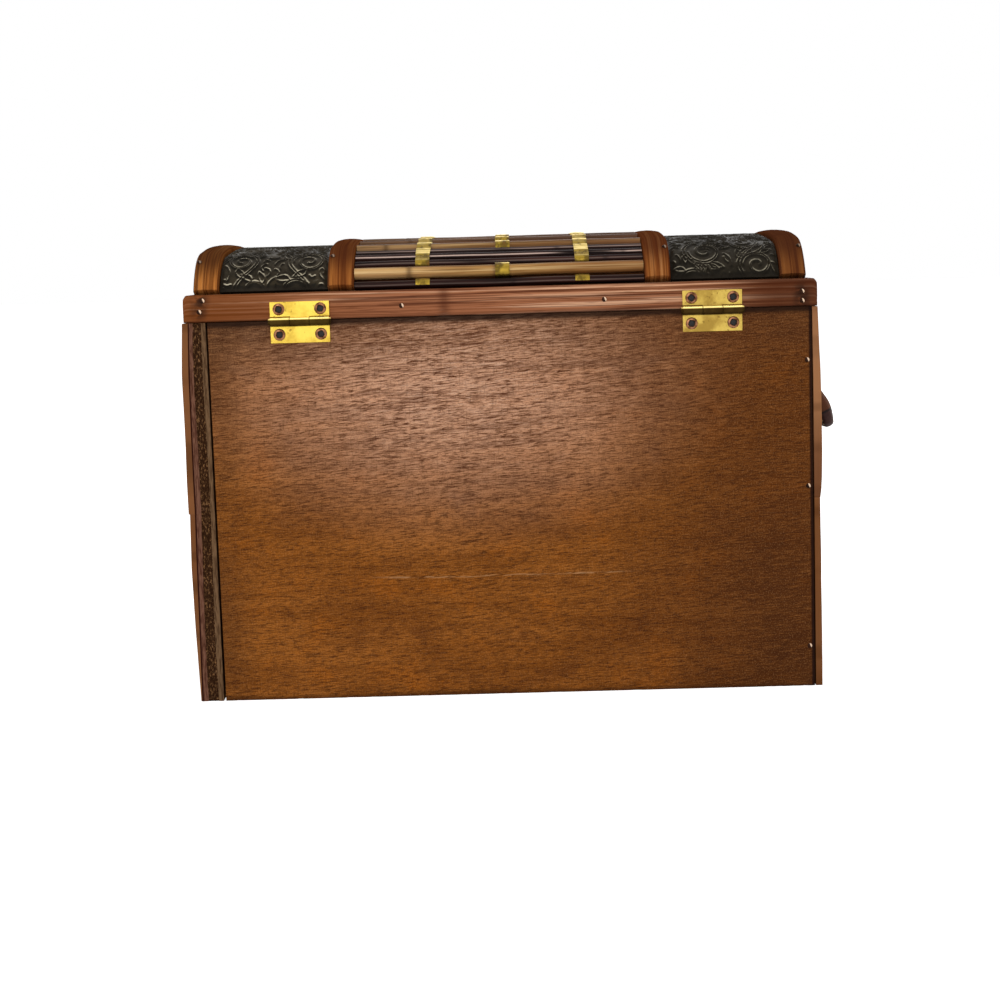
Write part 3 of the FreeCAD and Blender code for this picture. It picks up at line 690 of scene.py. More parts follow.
def addRod(shape, frontier, station, radius, reach, seed, knots, sway, smoke=None):
    # a round stalk along X: frontier gives the surface it lies on and its outward direction
    rng = np.random.default_rng(seed)
    x = np.linspace(-reach, reach, 110)
    knots = np.array(knots)
    extra = (knots[:, None] + np.linspace(-2.4, 2.4, 13) * mm).ravel() if len(knots) else np.array([])
    x = np.unique(np.concatenate([x, extra[np.abs(extra) < reach]]))
    point, outward = frontier(np.array([station]))
    point, outward = point[0], outward[0]
    tangent = np.cross(right, outward)
    aside = wave(seed, sway, (0.06, 0.13, 0.31))(x)
    away = wave(seed + 1, 0.1 * mm, (0.09, 0.2))(x) - 0.1 * mm
    knot = sum((bell(x - k, 1.6 * mm) for k in knots), np.zeros_like(x))
    ring = sum((bell(x - k, 0.7 * mm) - 0.8 * bell(x - k - 1.6 * mm, 0.6 * mm) for k in knots), np.zeros_like(x))
    size = radius * (0.955 + wave(seed + 2, 0.02, (0.03, 0.075))(x) + 0.03 * ring)
    turn = np.linspace(0, 2 * math.pi, 18, endpoint=False)
    fibre = sum(np.sin(n * turn + rng.uniform(0, 6.28)) for n in (5, 8, 13)) / 3
    spread = size[:, None] * (1 + 0.012 * fibre)
    centre = point + right * x[:, None] + tangent * aside[:, None] + outward * (mat["lift"] + radius + away)[:, None]
    rings = centre[:, None] + spread[..., None] * (np.cos(turn)[:, None] * tangent + np.sin(turn)[:, None] * outward)
    tone = rng.uniform(0, 0.8) if smoke is None else smoke
    shape.tube(rings, pack(x[:, None], turn * radius, tone), relief=0.5 + 0.5 * fibre[None],
               knot=np.clip(knot, 0, 1)[:, None])


def caneFinish():
    # golden stalks, paler towards one end and browner towards the other, with dark joints, a painted highlight along
    # the upper side and painted shade on the lower side and where they face up
    paint = Paint("goldenCane", 0.08)
    grain = paint.tag("grain", "Vector")
    tone = paint.part(grain, "Z")
    broad = paint.clouds(grain, (22, 300, 40), detail=3)
    streak = paint.clouds(grain, (16, 1100, 60), detail=3, rough=0.6)
    paint.start(paint.fade(broad, 0.35, 0.65), tint(152, 106, 52), tint(196, 150, 88))
    turn = paint.magnitude(paint.part(grain, "Y") - math.pi / 2 * mat["cane"] / 2)
    # painted highlight along the upper side of each cane
    upper = paint.fade(paint.magnitude(turn - 1.6 * mm), 1.5 * mm, 0.2 * mm)
    paint.lay(upper * paint.fade(streak, 0.35, 0.6) * 0.8, 224, 190, 132)
    # painted shade on the lower side of each cane
    lower = paint.fade(turn, 2.6 * mm, 4.6 * mm)
    paint.lay(lower * 0.6, 76, 46, 20)
    paler = paint.fade(paint.part(grain, "X"), 0.0, 55 * mm) * 0.3
    paint.lay(paler, 216, 174, 122)
    browner = paint.fade(paint.part(grain, "X"), 10 * mm, -60 * mm) * 0.6
    paint.lay(browner, 116, 66, 34)
    paint.lay(paint.fade(streak, 0.48, 0.32) * 0.6, 72, 44, 20)
    # painted shade where the canes face up
    above = paint.fade(paint.towards("Z"), 0.72, 0.97)
    paint.lay(above * 0.7, 100, 62, 30)
    smoky = paint.fade(tone, 0.86, 0.97)
    dim = paint.mix(paint.fade(streak, 0.4, 0.6), tint(44, 26, 20), tint(92, 60, 44))
    paint.lay(smoky * 0.9, dim)
    paint.lay(paint.tag("knot") * 0.65, 72, 48, 26)
    normal = paint.bump(streak, 0.15 * mm)
    return paint.finish(0.36 + 0.2 * paint.fade(streak, 0.6, 0.4), normal)


def reedFinish():
    # smoked stalks with a painted highlight along each shoulder
    paint = Paint("smokedReed", 0.06)
    grain = paint.tag("grain", "Vector")
    streak = paint.clouds(grain, (12, 1100, 60), detail=3, rough=0.6)
    patch = paint.clouds(grain, (16, 260, 50), detail=3)
    tone = paint.part(grain, "Z")
    paint.start(paint.fade(patch, 0.4, 0.7), tint(18, 6, 5), tint(48, 22, 16))
    turn = paint.magnitude(paint.part(grain, "Y") - math.pi / 2 * mat["reed"] / 2)
    shift = 1.5 * mm + 0.8 * mm * (tone - 0.4)
    # painted highlight along the shoulder, on some reeds more than others
    rubbed = paint.fade(paint.magnitude(turn - shift), 0.6 * mm, 0.1 * mm) * paint.fade(tone, -0.1, 0.5)
    paint.lay(rubbed * paint.fade(patch, 0.36, 0.56) * 0.95, 206, 178, 164)
    paint.lay(paint.fade(streak, 0.58, 0.74) * 0.35, 94, 54, 42)
    paint.lay(paint.tag("knot") * 0.5, 20, 10, 10)
    return paint.finish(0.32 + 0.2 * paint.fade(streak, 0.6, 0.4), paint.bump(streak, 0.1 * mm))


def stripFinish():
    # thin brass, dulled to olive, with a painted highlight where it faces up, coppery stains and fine creases
    paint = Paint("dulledBrass", Metallic=1.0)
    grain = paint.tag("grain", "Vector")
    dull = paint.clouds(grain, (170, 190, 30), detail=4, rough=0.6)
    crease = paint.clouds(grain, (900, 260, 30), detail=3, rough=0.6)
    paint.start(paint.fade(dull, 0.45, 0.62), tint(134, 110, 40), tint(92, 74, 30))
    paint.lay(paint.fade(dull, 0.62, 0.74) * 0.7, 112, 66, 36)
    # painted highlight where the strip faces up
    above = paint.fade(paint.towards("Z"), 0.84, 0.97) * paint.fade(dull, 0.66, 0.5)
    paint.lay(above, 222, 194, 104)
    return paint.finish(0.34 + 0.2 * paint.fade(dull, 0.45, 0.65), paint.bump(crease, 0.25 * mm))


canePaint, reedPaint, stripPaint = caneFinish(), reedFinish(), stripFinish()


def stripPath(canes, reeds, isMiddle):
    # heights of the strip above the wood, along the mat: over a rod, down the gap beside it, or under it
    rods = sorted([(c, mat["cane"] / 2, "cane") for c in canes] + [(r, mat["reed"] / 2, "reed") for r in reeds])
    low = mat["strip"] / 2 + mat["stripGap"]
    path = []
    for station, radius, kind in rods:
        isOutermost = kind == "cane" and station in (canes[0], canes[-1])
        over = kind == "cane" if isMiddle else not isOutermost
        clear = radius + low
        centre = mat["lift"] + radius
        if over:
            turn = np.linspace(math.pi, 0, 15)
            hump = pack(station + clear * np.cos(turn), centre + clear * np.sin(turn))
            path.append((hump, True))
        else:
            flat = np.linspace(station - radius, station + radius, 7)
            path.append((pack(flat, low), False))
    points = []
    for index, (run, over) in enumerate(path):
        before = path[index - 1][1] if index else over
        after = path[index + 1][1] if index + 1 < len(path) else over
        if over and before:
            run = run[5:] if index else run[4:]
        if over and after:
            run = run[:-5] if index + 1 < len(path) else run[:-4]
        points.append(run)
    points = np.concatenate(points)
    steps = travelled(points)
    smooth = spotsAlong(points, steps, np.arange(0, steps[-1], 0.35 * mm))
    kernel = np.exp(-np.linspace(-2, 2, 7) ** 2)
    kernel = kernel / kernel.sum()
    padded = np.pad(smooth, ((3, 3), (0, 0)), mode="edge")
    return pack(*[np.convolve(padded[:, k], kernel, mode="valid") for k in (0, 1)])


def addStrip(shape, frontier, path, x, seed):
    rng = np.random.default_rng(seed)
    s, height = path[:, 0], path[:, 1]
    point, outward = frontier(s)
    line = point + outward * height[:, None]
    away = np.cross(right, unit(np.gradient(line, axis=0)))
    across = np.linspace(-1, 1, 11)
    length = travelled(line)
    crumple = 0.05 * mm * np.sin(length[:, None] / (1.9 * mm) + 3 * across[None])
    crumple = crumple * wave(seed, 1, (0.02, 0.05))(length)[:, None]
    wander = wave(seed + 3, 0.35 * mm, (0.04, 0.09))(length)
    half = mat["stripWidth"] / 2 * (1 + wave(seed + 4, 0.02, (0.013, 0.03))(length))
    face = line[:, None] + right * (x + wander[:, None] + half[:, None] * across[None])[..., None]
    curl = -0.12 * mm * across[None] ** 4 + crumple
    top = face + away[:, None] * (mat["strip"] / 2 + curl)[..., None]
    under = face + away[:, None] * (-mat["strip"] / 2 + curl)[..., None]
    rings = np.concatenate([top, under[:, ::-1]], axis=1)
    u = np.concatenate([across, across[::-1]]) * mat["stripWidth"] / 2
    shape.tube(rings, pack(length[:, None], u, rng.uniform(0, 1)))


def makeMat(prefix, body, frontier, halfLength, pitch, seed):
    canes, reeds = matRows(halfLength, pitch)
    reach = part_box(prefix + "_mat_canes")[1].x
    shape = Shape()
    rng = np.random.default_rng(seed)
    for k, station in enumerate(canes):
        knots = (rng.uniform(-6, 6) * mm + (3 if k % 2 else -45) * mm, rng.uniform(35, 60) * mm)
        smoke = [share for limit, share in mat["smoke"] if abs(station) < limit and prefix == "lid"]
        addRod(shape, frontier, station, mat["cane"] / 2, reach, seed + k, knots, mat["caneSway"], *smoke[:1])
    shape.piece(prefix + "_mat_canes", canePaint, body)
    shape = Shape()
    for k, station in enumerate(reeds):
        knots = (rng.uniform(-65, 65) * mm,)
        addRod(shape, frontier, station, mat["reed"] / 2, reach, seed + 50 + k, knots, mat["reedSway"])
    shape.piece(prefix + "_mat_reeds", reedPaint, body)
    shape = Shape()
    for column in (-1, 0, 1):
        path = stripPath(canes, reeds, column == 0)
        addStrip(shape, frontier, path, mat["stripMiddle"] + column * mat["stripPitch"], seed + 90 + column)
    shape.piece(prefix + "_mat_strips", stripPaint, body)


frontLow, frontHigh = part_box("front_panel")
frontMiddle = (frontLow.z + frontHigh.z) / 2
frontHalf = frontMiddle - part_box("front_bottom_rail")[1].z - 0.3 * mm
makeMat("lid", "lid", archSpine(0.0), archFoot + mat["tuck"], mat["lidPitch"], 300)
makeMat("front", "chest", straightSpine((0, frontLow.y, frontMiddle), up, -back), frontHalf, mat["frontPitch"], 500)
print("woven mats made")


# Embossed leather: a vine with curls and leaves of its own design, raised in thin lines with a painted highlight and
# painted shade on their flanks
hide = sizes(step=0.42, sideStep=0.7, vine=38, endVine=44, ridge=0.42, raised=0.7, sideRaised=0.6, endRaised=0.5,
             edgeDrop=0.9, sideDrop=0.3, stroke=12, spacing=1.2, cell=0.5, line=0.35)


def scrollLines(width, length, size, seed):
    rng = np.random.default_rng(seed)
    lines = []
    v = np.arange(-0.1 * length, 1.1 * length, hide["line"])
    columns = max(1, round(width / (0.9 * size)))
    pitch = width / columns
    for column in range(columns):
        middle = -width / 2 + pitch * (column + 0.5)
        phase = rng.uniform(0, size)
        sway = 0.2 * pitch
        for shift in (0, 1.7 * mm):
            lines.append(pack(middle + sway * np.sin(2 * math.pi * (v + phase) / size) + shift, v))
        for k in range(-1, int(2 * (length + size) / size) + 1):
            side = 1 if k % 2 == 0 else -1
            at = (k + 0.5) * size / 2 - phase
            first = rng.uniform(0.3, 0.36) * pitch
            centre = np.array((middle + side * (sway - first), at))
            full = 2 * math.pi * rng.uniform(1.5, 1.85)
            theta = np.linspace(0, full, 260)
            spin = side * (1 if rng.uniform() < 0.5 else -1)
            for inset in (0.0, 1.5 * mm):
                r = np.maximum((first - inset) * (1 - 0.86 * theta / full), 0.4 * mm)
                angle = (0 if side > 0 else math.pi) + spin * theta
                lines.append(centre + pack(r * np.cos(angle), r * np.sin(angle)))
            for _ in range(5):
                t = rng.uniform(0.02, 0.5) * full
                r = first * (1 - 0.86 * t / full)
                angle = (0 if side > 0 else math.pi) + spin * t
                root = centre + r * np.array((math.cos(angle), math.sin(angle)))
                lean = angle + spin * rng.uniform(0.3, 0.9)
                ahead = np.array((math.cos(lean), math.sin(lean)))
                aside = np.array((-ahead[1], ahead[0]))
                leaf = rng.uniform(0.2, 0.32) * pitch
                grow = np.linspace(0, 1, 40)
                hook = spin * 0.35 * leaf * grow**2
                for share in (-1, 1):
                    bulge = share * 0.24 * leaf * np.sin(math.pi * grow) + hook
                    lines.append(root + ahead * (leaf * grow)[:, None] + aside * bulge[:, None])
    return fillStrokes(np.concatenate(lines), width, length, rng)


def fillStrokes(lines, width, length, rng):
    # curved strokes wherever the vine leaves room for them
    cell = hide["cell"]
    shape = (int(1.3 * width / cell), int(1.3 * length / cell))
    shift = np.array((0.65 * width, 0.15 * length))
    taken = np.zeros(shape, bool)

    def cells(points):
        index = ((points + shift) / cell).astype(int)
        return tuple(np.clip(index, 0, np.array(shape) - 1).T)

    def mark(points):
        reach = int(hide["spacing"] / cell)
        for i in range(-reach, reach + 1):
            for j in range(-reach, reach + 1):
                if i * i + j * j <= reach * reach:
                    taken[cells(points + (i * cell, j * cell))] = True
    mark(lines)
    strokes = [lines]
    grow = np.linspace(-0.5, 0.5, 34)
    for _ in range(int(width * length / hide["spacing"] ** 2)):
        root = np.array((rng.uniform(-0.5, 0.5) * width, rng.uniform(0, 1) * length))
        lean = 2.2 * math.sin(root[1] / (13 * mm)) + 1.7 * math.cos(root[0] / (9 * mm))
        span = hide["stroke"] * rng.uniform(0.3, 1.2)
        turn = lean + rng.choice((-1, 1)) * rng.uniform(0.8, 2.6) * grow
        steps = pack(np.cos(turn), np.sin(turn)) * span / len(grow)
        stroke = root + np.cumsum(steps, axis=0) - steps.sum(0) / 2
        if not taken[cells(stroke)].any():
            mark(stroke)
            strokes.append(stroke)
    return np.concatenate(strokes)


def scrollRelief(u, v, lines):
    tree = kdtree.KDTree(len(lines))
    for index, (a, b) in enumerate(lines):
        tree.insert((a, b, 0), index)
    tree.balance()
    near = [tree.find((a, b, 0))[2] for a, b in zip(u.ravel(), v.ravel())]
    return np.array(near).reshape(u.shape)


def addHide(shape, base, outward, u, v, lines, thickness, raised, edgeDrop, tone, keep=None):
    # a face over the base points, with the scroll's lines raised on it; rows run along v
    distance = scrollRelief(u, v, lines)
    ridge = bell(distance, hide["ridge"])
    hollow = bell(distance - 1.6 * mm, 0.7 * mm)
    pebble = roughness(pack(u, v, 0.0), 900.0, tone)
    fromSide = np.minimum(u - u.min(1, keepdims=True), u.max(1, keepdims=True) - u)
    fromEnd = np.minimum(v - v.min(0, keepdims=True), v.max(0, keepdims=True) - v)
    border = ease(np.minimum(fromSide, fromEnd), 0, 3 * mm)
    height = thickness - raised * (1 - ridge * border) - 0.12 * mm * hollow - edgeDrop * (1 - border)
    height = np.maximum(height + 0.07 * mm * pebble * border - 0.07 * mm, 0.2 * mm)
    face = base + height[..., None] * outward
    if keep:
        face[..., 1] = np.clip(face[..., 1], *keep)
    # relief tells the shader which flanks of the lines face up, for a painted highlight, and which face down, for
    # painted shade
    lit = unit(np.cross(np.gradient(face, axis=0), np.gradient(face, axis=1)))
    lit = lit * np.sign((lit * outward).sum(-1, keepdims=True))
    upward = up - outward * outward[..., 2:]
    upward = upward / np.maximum(np.linalg.norm(upward, axis=-1, keepdims=True), 0.35)
    lit = (lit * upward).sum(-1) * border
    rings = np.concatenate([base[:, :1], face, base[:, -1:]], axis=1)
    pad = ((0, 0), (1, 1))
    grain = np.pad(pack(u, v, tone), (*pad, (0, 0)), mode="edge")
    shape.tube(rings, grain, relief=np.pad(np.clip(0.4 + lit, 0, 1), pad),
               knot=np.pad(1 - border, pad, constant_values=1.0))


def leatherFinish():
    # near black, with a painted highlight on the upper flanks of the lines and painted shade on the lower ones
    paint = Paint("embossedLeather", 0.07)
    grain = paint.tag("grain", "Vector")
    relief = paint.tag("relief")
    broad = paint.clouds(grain, (55, 55, 9), detail=4, rough=0.6)
    pore = paint.clouds(grain, (1400, 1400, 9), detail=2)
    rub = paint.clouds(grain, (190, 190, 9), detail=3, rough=0.6)
    paint.start(paint.fade(broad, 0.35, 0.65), tint(32, 27, 18), tint(54, 46, 32))
    # painted shade on the flanks facing down
    paint.lay(paint.fade(relief, 0.38, 0.1) * 0.75, 14, 12, 8)
    # painted highlight on the flanks facing up, broken up by noise
    paint.lay(paint.fade(relief, 0.44, 0.8) * paint.fade(rub, 0.3, 0.56) * 0.95, 212, 200, 172)
    paint.lay(paint.tag("knot") * 0.6, 20, 15, 11)
    duller = paint.fade(paint.axis("X"), -50 * mm, -100 * mm)
    paint.lay(duller * 0.5, 22, 18, 10)
    rough = 0.5 - 0.16 * paint.fade(relief, 0.2, 0.9) + 0.16 * paint.fade(broad, 0.6, 0.4)
    return paint.finish(rough, paint.bump(pore * 0.6 + rub * 0.4, 0.12 * mm))


leatherPaint = leatherFinish()


def makeLidLeather():
    for name, seed in (("lid_right_leather", 3), ("lid_left_leather", 5)):
        low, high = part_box(name)
        width = high.x - low.x
        across = np.linspace(-width / 2, width / 2, int(width / hide["step"]))
        along = np.linspace(-archFoot, archFoot, int(2 * archFoot / hide["step"]))
        v, u = np.meshgrid(along, across, indexing="ij")
        base, outward = archAt(v)
        base = base + right * (u + (low.x + high.x) / 2)[..., None]
        lines = scrollLines(width, 2 * archFoot, hide["vine"], seed) - (0, archFoot)
        shape = Shape()
        addHide(shape, base, outward, u, v, lines, high.z - skinHigh.z, hide["raised"], hide["edgeDrop"], seed,
                keep=(low.y, high.y))
        shape.piece(name, leatherPaint, "lid", sharp=50)
    for name, side in (("lid_right_end_leather", 1), ("lid_left_end_leather", -1)):
        low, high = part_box(name)
        springing = crownReach + arch["shoulder"] * shoulderTurn
        along = np.linspace(-springing, springing, 190) * 0.985
        rim = archAt(along)[0] - archAt(along)[1] * 0.2 * mm
        share = np.linspace(0, 1, 46)
        z = low.z + (rim[:, 2] - low.z)[:, None] * share
        y = np.repeat(rim[:, 1][:, None], len(share), 1)
        base = pack(low.x if side > 0 else high.x, y, z)
        outward = np.broadcast_to(side * right, base.shape)
        lines = scrollLines(archRise, high.y - low.y, hide["endVine"], 20 + side) - (0, (high.y - low.y) / 2)
        shape = Shape()
        addHide(shape, base, outward, z - low.z - archRise / 2, y - arch["middle"], lines, high.x - low.x,
                hide["endRaised"], hide["sideDrop"], 8 + side)
        shape.piece(name, leatherPaint, "lid", sharp=50)


def makeBoxLeather():
    for name, out, seed in (("front_right_leather", -back, 31), ("front_left_leather", -back, 33),
                            ("right_side_leather", right, 35), ("left_side_leather", -right, 37)):
        low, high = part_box(name)
        isFront = out[1] != 0
        width = high.x - low.x if isFront else high.y - low.y
        height = high.z - low.z
        step = hide["step"] if isFront else hide["sideStep"]
        v, u = np.meshgrid(np.linspace(0, height, int(height / step)),
                           np.linspace(-width / 2, width / 2, int(width / step)), indexing="ij")
        if isFront:
            base = pack(u + (low.x + high.x) / 2, high.y, v + low.z)
            thickness, raised, drop = high.y - low.y, hide["raised"], hide["edgeDrop"]
        else:
            base = pack(low.x if out[0] > 0 else high.x, u + (low.y + high.y) / 2, v + low.z)
            thickness, raised, drop = high.x - low.x, hide["sideRaised"], hide["sideDrop"]
        lines = scrollLines(width, height, hide["vine"], seed)
        shape = Shape()
        addHide(shape, base, np.broadcast_to(out, base.shape), u, v, lines, thickness, raised, drop, seed)
        shape.piece(name, leatherPaint, "chest", sharp=50)


makeLidLeather()
makeBoxLeather()
print("leather embossed")


# Side handles of padded leather: brown arms, a darker wrap on the grip, stitched along both rims
handle = dict(
    **sizes(arm=13, grip=10, outerCorner=7, innerCorner=5, seam=2, stitch=3, thread=0.36, wrapEdge=26.5, wrapTop=-15,
            bulgeAt=12, bulgeSpan=7),
    fullness=2.7, capRows=5, fill=0.85,
    swing=dict(right_handle=0.0, left_handle=math.radians(25)),
    bulge=sizes(right_handle=0.0, left_handle=1.6),
)


def handleRims(halfLength, drop):
    # matching points along the outer and the inner rim, from one pin to the other; height 0 is at the pins
    def rim(half, bottom, corner):
        turn = np.linspace(0, math.pi / 2, 14)
        arm = pack(-half, np.linspace(0, bottom + corner, 10))
        bend = pack(-half + corner - corner * np.cos(turn), bottom + corner - corner * np.sin(turn))[1:]
        grip = pack(np.linspace(-half + corner, 0, 26), bottom)[1:]
        first = np.concatenate([arm, bend, grip])
        return np.concatenate([first, first[-2::-1] * (-1, 1)])
    return (rim(halfLength, -drop, handle["outerCorner"]),
            rim(halfLength - handle["arm"], -drop + handle["grip"], handle["innerCorner"]))


def handlePaint():
    paint = Paint("handleLeather", 0.15)
    grain = paint.tag("grain", "Vector")
    place = paint.place()
    broad = paint.clouds(place, (90, 90, 90), detail=4, rough=0.6)
    pebble = paint.node("ShaderNodeTexVoronoi", {"feature": "DISTANCE_TO_EDGE"}, {"Vector": place, "Scale": 1100.0})
    paint.start(paint.fade(broad, 0.35, 0.65), tint(86, 46, 24), tint(126, 76, 42))
    height, wrapTop = paint.part(grain, "Y"), handle["wrapTop"]
    paint.lay(paint.fade(height, -8 * mm, -1 * mm) * 0.4, 120, 104, 74)
    paint.lay(paint.fade(height, wrapTop + 0.4 * mm, wrapTop - 0.6 * mm) * 0.85, 52, 31, 31)
    # painted shade in the seam groove at the edge of the wrap
    seam = paint.fade(paint.magnitude(height - wrapTop), 0.9 * mm, 0.3 * mm)
    paint.lay(seam * 0.9, 20, 12, 10)
    paint.lay(paint.tag("knot"), 52, 34, 34)
    # painted shade in the stitch grooves and the seam
    paint.lay(paint.fade(paint.tag("relief"), 0.5, 0.0) * 0.85, 26, 16, 14)
    paint.lay(paint.fade(broad, 0.58, 0.74) * 0.4, 140, 124, 92)
    rough = 0.36 + 0.2 * paint.fade(broad, 0.6, 0.4)
    return paint.finish(rough, paint.bump(paint.fade(pebble, 0.0, 0.2), 0.1 * mm))


def threadFinish():
    paint = Paint("waxedThread")
    twist = paint.clouds(paint.place(), (1500, 1500, 1500), detail=2)
    paint.start(paint.fade(twist, 0.4, 0.62), tint(70, 52, 32), tint(150, 120, 78))
    return paint.finish(0.55, paint.bump(twist, 0.1 * mm))


handleLeather, threadPaint = handlePaint(), threadFinish()


def makeHandles():
    hangLow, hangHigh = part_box("right_handle")
    thickness = hangHigh.x - hangLow.x
    axisX = (hangLow.x + hangHigh.x) / 2
    pinZ = hangHigh.z - thickness / 2
    outer, inner = handleRims((hangHigh.y - hangLow.y) / 2, pinZ - hangLow.z)
    # both ends close round the pins
    rows = handle["capRows"]
    loop = np.linspace(math.pi / 2, 0, rows + 1)[:-1]
    caps = [pack(rim[0, 0], thickness / 2 * np.sin(loop)) for rim in (outer, inner)]
    outer, inner = [np.concatenate([cap, rim, cap[::-1] * (-1, 1)]) for cap, rim in zip(caps, (outer, inner))]
    full = np.ones(len(outer))
    full[:rows] = np.maximum(np.cos(loop), 0.05)
    full[-rows:] = full[:rows][::-1]
    phi = np.linspace(0, 2 * math.pi, 40, endpoint=False)
    power = 2 / handle["fullness"]
    share = 0.5 - 0.5 * np.sign(np.cos(phi)) * np.abs(np.cos(phi)) ** power
    swell = np.sign(np.sin(phi)) * np.abs(np.sin(phi)) ** power
    span = np.linalg.norm(outer - inner, axis=1)
    flat = inner[:, None] + (outer - inner)[:, None] * share[None, :, None]
    rimDistance = np.minimum(share, 1 - share)[None] * span[:, None]
    dip = bell(rimDistance - handle["seam"], 0.55 * mm) * (np.abs(np.sin(phi)) > 0.05)[None]
    gripReach = np.abs((outer + inner)[:, 0] / 2)
    wrapEdge = handle["wrapEdge"]
    wrap = 1 - ease(gripReach, wrapEdge - 0.4 * mm, wrapEdge + 0.4 * mm)
    seamLine = bell(gripReach - wrapEdge, 0.6 * mm)
    plump = 0.93 + 0.04 * wrap + wave(5, 0.02, (0.011, 0.023))(gripReach)
    offset = swell[None] * thickness / 2 * full[:, None] * (plump - 0.05 * seamLine)[:, None]
    offset = offset - np.sign(offset) * 0.3 * mm * dip
    for name in ("right_handle", "left_handle"):
        side = 1 if name == "right_handle" else -1
        angle = handle["swing"][name]

        def swung(away, flatPoints):
            out = away * math.cos(angle) - flatPoints[..., 1] * math.sin(angle)
            high = away * math.sin(angle) + flatPoints[..., 1] * math.cos(angle)
            return pack(side * (axisX + out), flatPoints[..., 0], pinZ + high)

        shape = Shape()
        bulge = handle["bulge"][name] * bell(flat[..., 1] + handle["bulgeAt"], handle["bulgeSpan"])
        rings = swung(offset + bulge * np.clip(swell, 0, 1) * full[:, None], flat)
        grain = pack(flat[..., 0], flat[..., 1], share)
        # relief marks the stitch grooves and the seam, which the shader darkens as painted shade
        relief = 1 - np.maximum(dip * 0.7, seamLine[:, None])
        shape.tube(rings, grain, relief=relief, knot=wrap[:, None])
        grip = shape.piece(name, handleLeather, name, sharp=60, suffix="-grip")
        shape = Shape()
        addStitches(shape, outer, inner, span, thickness, swung)
        shape.piece(name, threadPaint, name, sharp=80, suffix="-stitches", isExtra=True)


def addStitches(shape, outer, inner, span, thickness, swung):
    # short runs of thread in the dips along both rims, on both faces
    rows = handle["capRows"] + 1
    body = slice(rows, len(outer) - rows)
    for fromInner in (True, False):
        inset = handle["seam"] / span
        share = inset if fromInner else 1 - inset
        line = (inner + (outer - inner) * share[:, None])[body]
        steps = travelled(line)
        depth = (1 - np.abs(1 - 2 * share[body]) ** handle["fullness"]) ** (1 / handle["fullness"])
        lift = thickness / 2 * depth * 0.94 - 0.12 * mm
        for start in np.arange(handle["stitch"] / 2, steps[-1] - handle["stitch"], handle["stitch"]):
            t = np.linspace(start, start + 0.68 * handle["stitch"], 7)
            spot = spotsAlong(line, steps, t)
            ahead = unit(np.gradient(spot, axis=0))
            aside = pack(-ahead[:, 1], ahead[:, 0])
            radius = handle["thread"] * np.sqrt(np.maximum(1 - np.linspace(-0.97, 0.97, 7) ** 4, 0.06))
            turn = np.linspace(0, 2 * math.pi, 8, endpoint=False)
            for face in (1, -1):
                height = np.interp(t, steps, lift) * face
                flat = spot[:, None] + aside[:, None] * (radius[:, None] * np.cos(turn))[..., None]
                away = height[:, None] + radius[:, None] * np.sin(turn) * 0.8
                shape.tube(swung(away, flat), np.zeros(3))


makeHandles()
print("handles stitched")


# Plywood: stained veneer faces, layered edges and one torn edge that shows at the back
ply = sizes(step=1.6, edge=0.3)


def veneerColours(paint, place, along, light, dark, deep):
    # streaks run along one axis; scales are per metre
    def scale(long, wide):
        values = [wide, wide, wide]
        values[along] = long
        return tuple(values)
    broad = paint.clouds(place, scale(7, 30), detail=3, rough=0.6)
    band = paint.clouds(place, scale(9, 130), detail=3, rough=0.55, warp=0.3)
    fibre = paint.clouds(place, scale(60, 800), detail=3, rough=0.65)
    pore = paint.clouds(place, scale(120, 1500), detail=2, rough=0.5)
    paint.start(paint.fade(broad * 0.5 + band * 0.5, 0.36, 0.64), dark, light)
    paint.lay(paint.fade(fibre, 0.5, 0.3) * 0.6, deep)
    paint.lay(paint.fade(pore, 0.45, 0.3) * 0.8, deep)
    return fibre, pore


def plywoodFinish(name, stack, along, light, dark, deep):
    paint = Paint(name, matte)
    place = paint.place()
    fibre, pore = veneerColours(paint, place, along, light, dark, deep)
    onEdge = paint.fade(paint.magnitude(paint.towards(stack)), 0.7, 0.4)
    turns = paint.part(place, stack) * (math.pi / ply["step"])
    layer = paint.node("ShaderNodeMath", {"operation": "SINE"}, {0: turns})
    torn = paint.clouds(place, (700, 700, 700), detail=3, rough=0.7)
    edge = paint.mix(paint.fade(layer + torn * 1.2 - 0.6, -0.5, 0.5), tint(58, 36, 22), tint(134, 98, 72))
    edge = paint.mix(paint.fade(torn, 0.45, 0.3), edge, tint(30, 18, 12))
    paint.lay(onEdge, edge)
    rough = 0.48 + 0.2 * paint.fade(fibre, 0.55, 0.4)
    return paint.finish(rough, paint.bump(fibre * 0.5 + pore * 0.5, 0.2 * mm))


# The back panel's edge beside the torn wall leans inwards towards the base, and its lower edge is chipped
backWall = dict(**sizes(lean=1.1, sideLean=0.9, chip=0.9, chipRise=3, round=0.3, rise=0.7, face=85, scratch=62,
                        glowX=24, glowZ=163, glowReach=165), glowSquash=1.7, grainTilt=-0.07)


